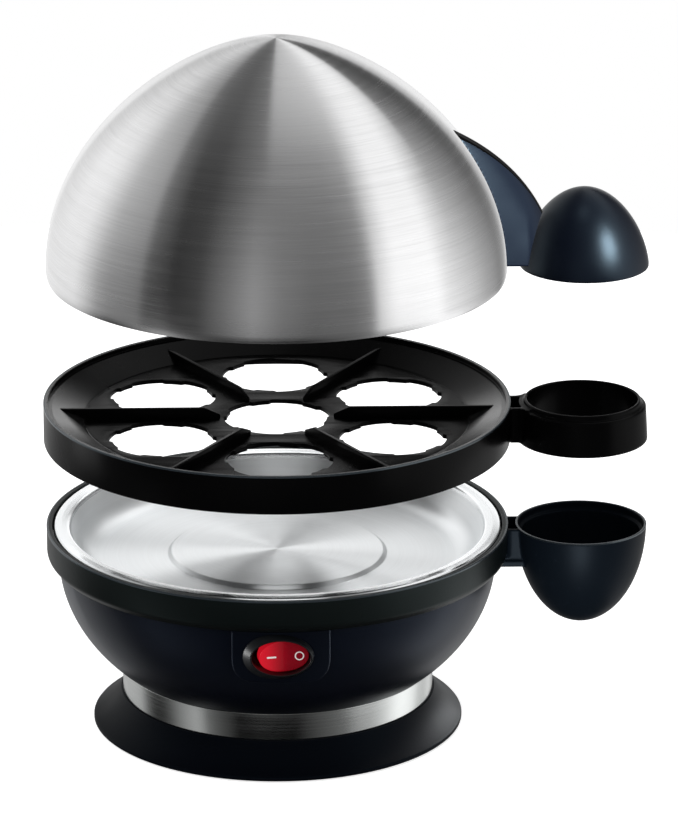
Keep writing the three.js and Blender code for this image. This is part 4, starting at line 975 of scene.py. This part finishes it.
rideOn(collarCup, "base", "satin_black")
# painted highlight lines along the rims of the cup and the collar
cupEdge = highlightBead("cupEdge", cupRadius, cupTop, 0.75, 0.05, 0.08, 0.2, 0.5, 192, reach)
collarEdge = highlightBead("collarEdge", bodyRadius, rimHeight, 0.75, 0.05, 0.08, 0.25, 0.6)
for piece in (cupEdge, collarEdge):
    rideOn(piece, "base", "satin_black")
print("collar ready")


# ---- bowl, with the cord's gland at the back

bowl = {
    "centre": collarBottom + 0.4,
    "lowest": 5,
    "wall": 2.2,
    "neckStep": 1.5,
    "neckBottom": 9,
    "floor": highest("steel_band").z + gap,
    "bossRadius": 8.5,
    "glandRadius": 4.5,
    "glandFlange": 1.8,
    "glandSheet": 2,
    "cordHole": 3.4,
    "sleeveInset": 1.5,  # from the switch bezel's flange to its sleeve
}
bowlDepth = bowl["centre"] - bowl["lowest"]
bowlTop = ledgeBottom - gap
glandLow, glandHigh = lowest("cord_gland"), highest("cord_gland")
glandHeight = (glandLow.z + glandHigh.z) / 2


def bowlArc(inset, bottom, steps=72):
    radius, depth = bowlRadius - inset, bowlDepth - inset
    start = asin((bowl["centre"] - bottom) / depth)
    return [(radius * cos(start * (1 - i / steps)),
             bowl["centre"] - depth * sin(start * (1 - i / steps))) for i in range(steps + 1)]


def drumAlongY(name, radius, fromY, toY, steps=64):
    return prism(name, oval(radius, radius, 0, glandHeight, steps), fromY, toY, "Y")


outside = bowlArc(0, bowl["floor"])
neckRadius = outside[0][0] - bowl["neckStep"]
inside = bowlArc(bowl["wall"], bowl["floor"] + bowl["wall"])
bowlSolid = turned("bowlSolid", [
    (neckRadius, bowl["neckBottom"]), (neckRadius, bowl["floor"]), *outside, (bowlRadius, bowlTop),
    (bowlRadius - bowl["wall"], bowlTop), *inside[::-1],
    (neckRadius - bowl["wall"], bowl["floor"] + bowl["wall"]),
    (neckRadius - bowl["wall"], bowl["neckBottom"]),
])
bossFace = glandHigh.y - bowl["glandSheet"] + gap
bezelSize = highest("switch_bezel") - lowest("switch_bezel")
sleeveWidth, sleeveHeight = bezelSize.x / 2 - bowl["sleeveInset"], bezelSize.z / 2 - bowl["sleeveInset"]
glandInner = glandLow.y + bowl["glandSheet"]
boss = drumAlongY("boss", bowl["bossRadius"], glandInner + gap, bossFace)
bowlCutters = [
    prism("switchCut", oval(sleeveWidth + gap, sleeveHeight + gap, 0, switchHeight), -bodyRadius, -58, "Y"),
    drumAlongY("glandCut", bowl["glandRadius"] + gap, 55, 90),
    drumAlongY("flangeCut", bowl["glandRadius"] + bowl["glandFlange"] + gap, bossFace, 91),
]
bowlShell = carved("bowlShell", bowlNavy, bowlSolid, [boss], bowlCutters)
rideOn(bowlShell, "base", "navy_black", "bowl")
print("bowl ready")


# ---- foot: skirt, steel band, cover, screws and rubber feet

foot = {
    "top": 12.7,
    "lipHeight": 1.4,
    "wall": 1.5,
    "shoulder": 0.7,
    "standHeight": 1.2,
    "seatLow": 6.7,  # the ledge inside the skirt
    "seatHigh": 8.7,
    "seatWidth": 2.2,
    "coverSheet": 3,
    "padRadius": 18,
    "padHeight": 1,
    "footRadius": 6.5,
    "footHeight": 2.4,
    "feet": 4,
    "screwHead": 3,
    "screwHeadHeight": 1.6,
    "ventSlots": 5,
    "slotPitch": 6,
    "slotWidth": 2,
    "slotLength": 16,
    "slotGap": 5,
}
bandRadius = highest("steel_band").x
bandLow, bandHigh = lowest("steel_band").z, highest("steel_band").z
steelBand = turned("steelBand", rounded([
    (bandRadius, bandLow, 0.25), (bandRadius, bandHigh, 0.25),
    (bandRadius - 0.7, bandHigh), (bandRadius - 0.7, bandLow),
]), material=brushedBand)
rideOn(steelBand, "base", "brushed_steel", "steel_band")

skirtRadius = highest("foot_skirt").x
skirtLow = lowest("foot_skirt").z
shoulder = bandRadius + foot["shoulder"]
flare = bent((shoulder, foot["top"]), (shoulder + 0.35 * (skirtRadius - shoulder), 0.42 * foot["top"]),
             (skirtRadius, skirtLow + foot["lipHeight"]), 40)
underside = [(r - 1.3 * foot["wall"], z - 0.3 * foot["wall"]) for r, z in flare[::-1]]
bore = neckRadius + gap
seatInner = neckRadius - foot["seatWidth"]
footSkirt = turned("footSkirt", [
    (bore, foot["top"]), *flare[:-1], (skirtRadius - 0.25, flare[-1][1] + 0.05),
    (skirtRadius, flare[-1][1] - 0.25), (skirtRadius, skirtLow + 0.35), (skirtRadius - 0.4, skirtLow),
    (skirtRadius - foot["wall"], skirtLow),
    *[p for p in underside if p[0] > bore + foot["wall"] and p[1] > foot["standHeight"]],
    (bore + foot["wall"], foot["seatLow"]), (seatInner, foot["seatLow"]),
    (seatInner, foot["seatHigh"]), (bore, foot["seatHigh"]),
], material=skirtBlack)
rideOn(footSkirt, "base", "navy_black", "foot_skirt")

coverRadius = highest("bottom_cover").x
coverLow = foot["standHeight"]
coverTop = coverLow + foot["coverSheet"]
feetReach = (highest("rubber_foot_right").x + lowest("rubber_foot_right").x) / 2
screwReach = Vector(((highest("cover_screw_1") + lowest("cover_screw_1")) / 2)[:2]).length
upstandOuter, upstandInner, upstandTop = bore + foot["wall"] - gap, seatInner, highest("bottom_cover").z
coverDisc = turned("coverDisc", rounded([
    (0, foot["padHeight"]), (foot["padRadius"], foot["padHeight"]), (foot["padRadius"], coverLow),
    (coverRadius, coverLow, 0.4), (coverRadius, coverTop, 0.2), (upstandOuter, coverTop),
    (upstandOuter, upstandTop), (upstandInner, upstandTop), (upstandInner, coverTop), (0, coverTop)], 4), 192)
recess = drum("recess", foot["footRadius"] + gap, 0, foot["footHeight"] + gap, 48)
screwSeat = drum("screwSeat", foot["screwHead"] + gap, 0, coverLow + foot["screwHeadHeight"], 32)
slotStart = foot["padRadius"] + foot["slotGap"]
slot = prism("slot", [(a * foot["slotWidth"] / 2, slotStart + b * foot["slotLength"])
                      for a, b in ((-1, 0), (1, 0), (1, 1), (-1, 1))], 0, 9)


def slotRow(tree, given):
    start = (1 - foot["ventSlots"]) / 2 * foot["slotPitch"] * mm
    line = grow(tree, "MeshLine", Count=given["Count"], Start_Location=(start, 0, 0),
                Offset=add(tree, "CombineXYZ", X=given["Pitch"]).outputs[0])
    return repeated(tree, line, given["Part"])


slotSizes = {"Count": foot["ventSlots"], "Pitch": foot["slotPitch"] * mm, "Part": slot}
frontSlots = nodeShape("frontSlots", slotRow, slotSizes)
drop(slot)
backSlots = newPiece("backSlots", frontSlots.data.copy())
backSlots.data.transform(Matrix.Rotation(pi, 4, "Z"))
coverCutters = [frontSlots, backSlots, repeatRound(recess, "recesses", foot["feet"], feetReach),
                repeatRound(screwSeat, "screwSeats", foot["feet"], screwReach, spin=pi / 4)]
bottomCover = carved("bottomCover", coverBlack, coverDisc, cutters=coverCutters)
rideOn(bottomCover, "base", "soft_black", "bottom_cover")

footRadius, footHeight = foot["footRadius"], foot["footHeight"]
oneFoot = turned("oneFoot", rounded([
    (0, 0), (footRadius, 0, 0.8), (footRadius, footHeight), (0, footHeight)], 4), 64)
rubberFeet = repeatRound(oneFoot, "rubberFeet", foot["feet"], feetReach, rubberBlack)
rideOn(rubberFeet, "base", "soft_black",
       *["rubber_foot_" + side for side in ("right", "back", "left", "front")])

glandRim = (glandHigh.z - glandLow.z) / 2
glandProfile = rounded([
    (bowl["cordHole"], glandHigh.y, 0.6), (glandRim, glandHigh.y, 0.9), (glandRim, bossFace + gap, 0.2),
    (bowl["glandRadius"], bossFace + gap), (bowl["glandRadius"], glandInner), (glandRim, glandInner, 0.2),
    (glandRim, glandLow.y, 0.6), (bowl["cordHole"], glandLow.y, 0.3)], 5)
cordGland = plainMesh(lofted("cordGland", [
    [(a, y, b) for a, b in oval(radius, radius, 0, glandHeight, 96)] for radius, y in glandProfile
], True), "cordGland", rubberBlack, 50)
rideOn(cordGland, "base", "soft_black", "cord_gland")
print("foot ready")


# ---- water pan

pan = {
    "sheet": 0.8,
    "rimWidth": 5.8,
    "depth": 12.5,
    "draft": 6.5,
    "corner": 9.8,
    "floorWidth": 32.6,
    "discRise": 1.5,
    "sealHeight": 1.2,
}
rimOuter = collarInner - 0.6
rimInner = rimOuter - pan["rimWidth"]
wallFoot = rimInner - pan["draft"]
discRadius = wallFoot - pan["floorWidth"]
panFloor = rimHeight - pan["depth"]
discTop = panFloor + pan["discRise"]
panRimLow = ledgeTop + gap + pan["sealHeight"] + gap
rimMiddle = (rimOuter + rimInner) / 2
sheet = pan["sheet"]
waterPan = turned("waterPan", rounded([
    (0, discTop), (discRadius, discTop, 0.9), (discRadius + pan["discRise"], panFloor, 0.9),
    (wallFoot, panFloor, pan["corner"]), (rimInner, rimHeight + 0.1, 2), (rimMiddle, rimHeight + 0.35, 4),
    (rimOuter, rimHeight + 0.1, 1.6), (rimOuter, panRimLow, 0.1), (rimOuter - sheet, panRimLow, 0.1),
    (rimOuter - sheet, rimHeight - sheet, 1), (rimMiddle, rimHeight + 0.2 - sheet, 4),
    (rimInner + sheet, rimHeight - sheet, 1.5), (wallFoot + sheet, panFloor - sheet, pan["corner"] + sheet),
    (discRadius + pan["discRise"], panFloor - sheet, 0.8), (discRadius, discTop - sheet, 0.8),
    (0, discTop - sheet),
], 10), material=spunPan)
rideOn(waterPan, "base", "pan_steel", "water_pan")
print("pan ready")


# ---- switch: panel, bezel and rocker

switch = {
    "panelWidth": 36.8,
    "panelDrop": 10.4,
    "corner": 9,
    "proud": 0.9,
    "voxel": 0.24,
    "rounding": 16,
    "rockerHalfWidth": 9.4,
    "rockerHalfHeight": 6.15,
    "play": 1.6,
    "lip": 0.5,
    "cone": 2.2,
    "coneShift": 1.3,  # the flange is wider at the left than at the right
    "coneBack": 2.2,
    "flangeBack": -80.6,
    "pivotDepth": 5.8,
    "rockerVoxel": 0.16,
    "rockerRounding": 12,
    "rise": 6.6,
    "dip": 1.6,
    "tilt": 10,
    "barAt": -4.6,
    "barLean": 0.06,
    "ringAt": 5.9,
    "markSheet": 0.16,
    "ringOuter": 1.75,
    "ringInner": 1.3,
}
panelHalf = switch["panelWidth"] / 2
panelTop = collarBottom - gap
panelLow = switchHeight - switch["panelDrop"]
panelRadius = bowlRadius + switch["proud"]
corner = [(panelHalf, panelTop)] + bent((panelHalf, panelLow + switch["corner"]), (panelHalf, panelLow),
                                        (panelHalf - switch["corner"], panelLow), 12)
shield = corner + [(-x, z) for x, z in corner[::-1]]
panelBlock = prism("panelBlock", shield, -bodyRadius, -74, "Y")
panelDrum = drum("panelDrum", panelRadius, panelLow - 2, panelTop + 2, 512)
curved = carved("curved", None, panelBlock, shared=[panelDrum])
panelHole = prism("panelHole", oval(sleeveWidth + 0.2, sleeveHeight + 0.2, 0, switchHeight),
                  -bodyRadius, -60, "Y")
switchPanel = moulded("switchPanel", panelNavy, curved, cutters=[panelHole],
                      grain=switch["voxel"], passes=switch["rounding"])
rideOn(switchPanel, "base", "satin_black", "switch_panel")

openWidth = switch["rockerHalfWidth"] + switch["play"]
openHeight = switch["rockerHalfHeight"] + 0.6
bezelFront = lowest("switch_bezel").y
bezelBack = highest("switch_bezel").y
bezelSection = rounded([
    (0, bezelBack), (0, bezelFront, 0.15), (switch["lip"], bezelFront, 0.15),
    (switch["lip"] + 0.12, bezelFront + 0.25, 0.1), (switch["cone"], bezelFront + switch["coneBack"], 0.4),
    (switch["cone"], switch["flangeBack"], 0.2), (0.3, switch["flangeBack"], 0.2), (0.3, bezelBack)], 5)
bezelRings = []
for i in range(160):
    angle = pi * i / 80
    x, z = cos(angle), sin(angle)
    spot = Vector((openWidth * x, openHeight * z))
    outward = Vector((openHeight * x, openWidth * z)).normalized()
    wider = 1 - switch["coneShift"] / switch["cone"] * x
    ring = []
    for offset, y in bezelSection:
        past = offset - switch["lip"]
        edge = spot + outward * (offset if past < 0.05 else switch["lip"] + past * wider)
        ring.append((edge.x, y, switchHeight + edge.y))
    bezelRings.append(ring)
switchBezel = plainMesh(lofted("switchBezel", bezelRings, True), "switchBezel", bezelBlack, 50)
rideOn(switchBezel, "base", "satin_black", "switch_bezel")

pivotY = -panelRadius + switch["pivotDepth"]
rockerEnd = switch["rockerHalfWidth"] + 1
rise, heel = switch["rise"], 0.6 * switch["rockerHalfWidth"]
plan = [(0, -rise + switch["dip"]), (rockerEnd, -rise), (rockerEnd, -0.4 * rise), (heel, 0.8), (-heel, 0.8),
        (-rockerEnd, -0.4 * rise), (-rockerEnd, -rise)]
rockerBlock = prism("rockerBlock", plan, -9, 9)
rockerOval = prism("rockerOval", oval(switch["rockerHalfWidth"], switch["rockerHalfHeight"]), -12, 6, "Y")
rocker = moulded("rocker", rockerRed, carved("rockerCut", None, rockerBlock, shared=[rockerOval]),
                 grain=switch["rockerVoxel"], passes=switch["rockerRounding"])
placeRocker = (Matrix.Translation((0, pivotY * mm, switchHeight * mm))
               @ Matrix.Rotation(radians(switch["tilt"]), 4, "Z"))
rocker.data.transform(placeRocker)
rideOn(rocker, "rocker", "red_gloss", "switch_rocker")

lean = atan2(switch["dip"], rockerEnd)


def faceMark(name, outlines, middle):
    side = copysign(1, middle)
    mark = flatPiece(name, outlines, switch["markSheet"], switch["markSheet"] / 4, markWhite)
    depth = -rise + switch["dip"] * (1 - abs(middle) / rockerEnd)
    mark.data.transform(
        placeRocker @ Matrix.Translation((middle * mm, (depth - 0.02) * mm, 0))
        @ Matrix.Rotation(-side * lean, 4, "Z") @ Matrix.Rotation(pi / 2, 4, "X"))
    return rideOn(mark, "rocker", "white_plastic")


bar = [(s * (1.55 + 0.35 * sin(a * pi / 8)), s * 0.35 * cos(a * pi / 8))
       for s in (1, -1) for a in range(9)]
faceMark("offBar", [[(x, z - switch["barLean"] * x) for x, z in bar]], switch["barAt"])
faceMark("onRing", [oval(r, r, steps=64) for r in (switch["ringOuter"], switch["ringInner"])],
         switch["ringAt"])
print("switch ready")


# ---- finishes for what the frame carries over

carried = {"pan_seal": sealWhite, "heater_plate": aluminium, "heat_shield": aluminium, "neon_lamp": lampGlass}
families = {
    plainSteel: ("screw", "nut", "heating_element", "clip", "bridge"),
    brass: ("switch_terminal", "contact_lever", "earth_"),
    connectorWhite: ("switched_lead", "terminal_block", "thermal_fuse"),
    coverBlack: ("thermostat", "cord_clamp", "switch_body"),
}
for name, node in nodes.items():
    finish = carried.get(name, rubberBlack)
    for one, words in families.items():
        if any(word in name for word in words):
            finish = one
            break
    for slot in node.material_slots:
        slot.material = finish
print("carried pieces finished")


# ---- a low ring of reflector card that only glossy surfaces see: it shapes the gloss of upright walls

card = {
    "radius": 500,
    "low": -500,
    "high": -30,
    "levels": [
        (-180, 0.35), (-151, 0.52), (-126, 0.50), (-117, 0.44), (-109, 0.14), (-102, 0.03), (-95, 0.02),
        (-89, 0.04), (-83, 0.10), (-77, 0.21), (-71, 0.32), (-61, 0.48), (-56, 0.39), (-51, 0.17),
        (-42, 0.09), (-28, 0.0), (-5, 0.0), (12, 0.0), (30, 0.08), (49, 0.16), (58, 0.34), (69, 0.46),
        (80, 0.75), (92, 1.26), (100, 1.38), (113, 1.17), (121, 0.76), (131, 0.65), (143, 0.86),
        (161, 0.35), (180, 0.35),
    ],
}
cardMaterial = bpy.data.materials.new("reflectorCard")
cardMaterial.use_nodes = True
tree = cardMaterial.node_tree
tree.nodes.clear()
cardLevel = compassRamp(compassShare(add(tree, "TexCoord").outputs["Object"]), card["levels"])
shine = add(tree, "Emission", Color=cardLevel)
add(tree, "OutputMaterial", Surface=shine.outputs[0])
cardSteps = 180
cardPoints = [(x, y, z) for z in (card["low"], card["high"])
              for x, y in oval(card["radius"], card["radius"], steps=cardSteps)]
cardFaces = bridged([range(cardSteps), range(cardSteps, 2 * cardSteps)], False)
cardRing = newPiece("reflectorCard", meshOf("reflectorCard", cardPoints, cardFaces), cardMaterial)
cardRing.visible_camera = cardRing.visible_diffuse = cardRing.visible_shadow = False
cardRing.visible_transmission = False


# ---- small lamps that light one piece each

def pieceLamp(name, turn, lift, distance, size, energy, aim, piece):
    # stands at a compass turn and an elevation from the place it aims at, and lights only its piece
    flat, rise = distance * cos(radians(lift)), distance * sin(radians(lift))
    spot = [c * mm for c in aim]
    place = (spot[0] + flat * sin(radians(turn)), spot[1] - flat * cos(radians(turn)),
             spot[2] + rise)
    lamp = areaLamp(name, place, size, energy, spot)
    group = bpy.data.collections.new(name + "Group")
    group.objects.link(piece)
    lamp.light_linking.receiver_collection = group
    lamp.light_linking.blocker_collection = group


knobMiddle, switchFront, panMiddle = (reach, 0, knobBottom + 12), (0, -85, switchHeight), (0, 0, panFloor)
# turn and elevation in degrees, distance and size in metres, watts, the place aimed at, and the piece
lamps = {
    "knobSide": (50, 28, 1, 0.45, 16, knobMiddle, lidKnob),
    "knobTop": (-14, 76, 1, 0.3, 0.5, knobMiddle, lidKnob),
    "finHigh": (-6, 42, 1, 0.5, 68, (90, -10, 215), lidFin),
    "finLow": (-3, -12, 1, 0.4, 0.7, (90, -10, 205), lidFin),
    "cupFront": (-4, -24, 1, 0.35, 13, (reach, -20, 60), collarCup),
    "bowlLeft": (-138, -25, 1, 0.5, 3, (-70, -30, 60), bowlShell),
    "skirtSide": (144, 21, 1, 0.5, 6, (skirtRadius, 0, 5), footSkirt),
    "panelLeft": (-78, -18, 1, 0.25, 5, switchFront, switchPanel),
    "panelRight": (86, -12, 1, 0.25, 10, switchFront, switchPanel),
    "bezelLeft": (-76, -4, 1, 0.4, 4, switchFront, switchBezel),
    "rockerLeft": (-25, 10, 1, 0.3, 0.7, switchFront, rocker),
    "trayWall": (-104, -17, 1, 0.35, 0.7, (0, 0, 122), trayRim),
    "traySlopeLeft": (166, 13, 1, 0.3, 0.6, (-75, 0, 115), trayRim),
    "traySlopeRight": (-166, 13, 1, 0.3, 0.6, (75, 0, 115), trayRim),
    "panLeft": (-158, 46, 1.2, 0.9, 0.4, panMiddle, waterPan),
    "panRight": (156, 46, 1.2, 0.9, 1.6, panMiddle, waterPan),
    "panTop": (180, 26, 1.4, 1.6, 2.9, panMiddle, waterPan),
    "panBack": (0, 36, 1.2, 0.9, 3, (0, 70, panFloor + 6), waterPan),
}
for name, values in lamps.items():
    pieceLamp(name, *values)
print("lamps ready")


# ---- floor

floor = {"radius": 650, "steps": 128, "paper": 0.8, "paler": 0.83, "fibres": 400, "glow": 0.72}
paper, tree, shader, place = startFinish("paper", Roughness=0.9, Specular_IOR_Level=0.1)
fill(shader, Base_Color=blended(noise(place, floor["fibres"]), (floor["paper"],) * 3, (floor["paler"],) * 3))
rays = add(tree, "LightPath").outputs
seen = most(rays["Is Camera Ray"], most(rays["Is Glossy Ray"], rays["Is Transmission Ray"]))
lightened = add(tree, "AddShader")
tree.links.new(shader.outputs[0], lightened.inputs[0])
tree.links.new(add(tree, "Emission", Strength=times(seen, floor["glow"])).outputs[0], lightened.inputs[1])
fill(tree.nodes["Material Output"], Surface=lightened.outputs[0])
floorEdge = [(x, y, 0) for x, y in oval(floor["radius"], floor["radius"], steps=floor["steps"])]
floorDisc = newPiece("floor", meshOf("floor", floorEdge, [tuple(range(floor["steps"]))]), paper)
floorDisc.visible_glossy = False  # the low card shapes the gloss of the walls instead

print("scene ready")
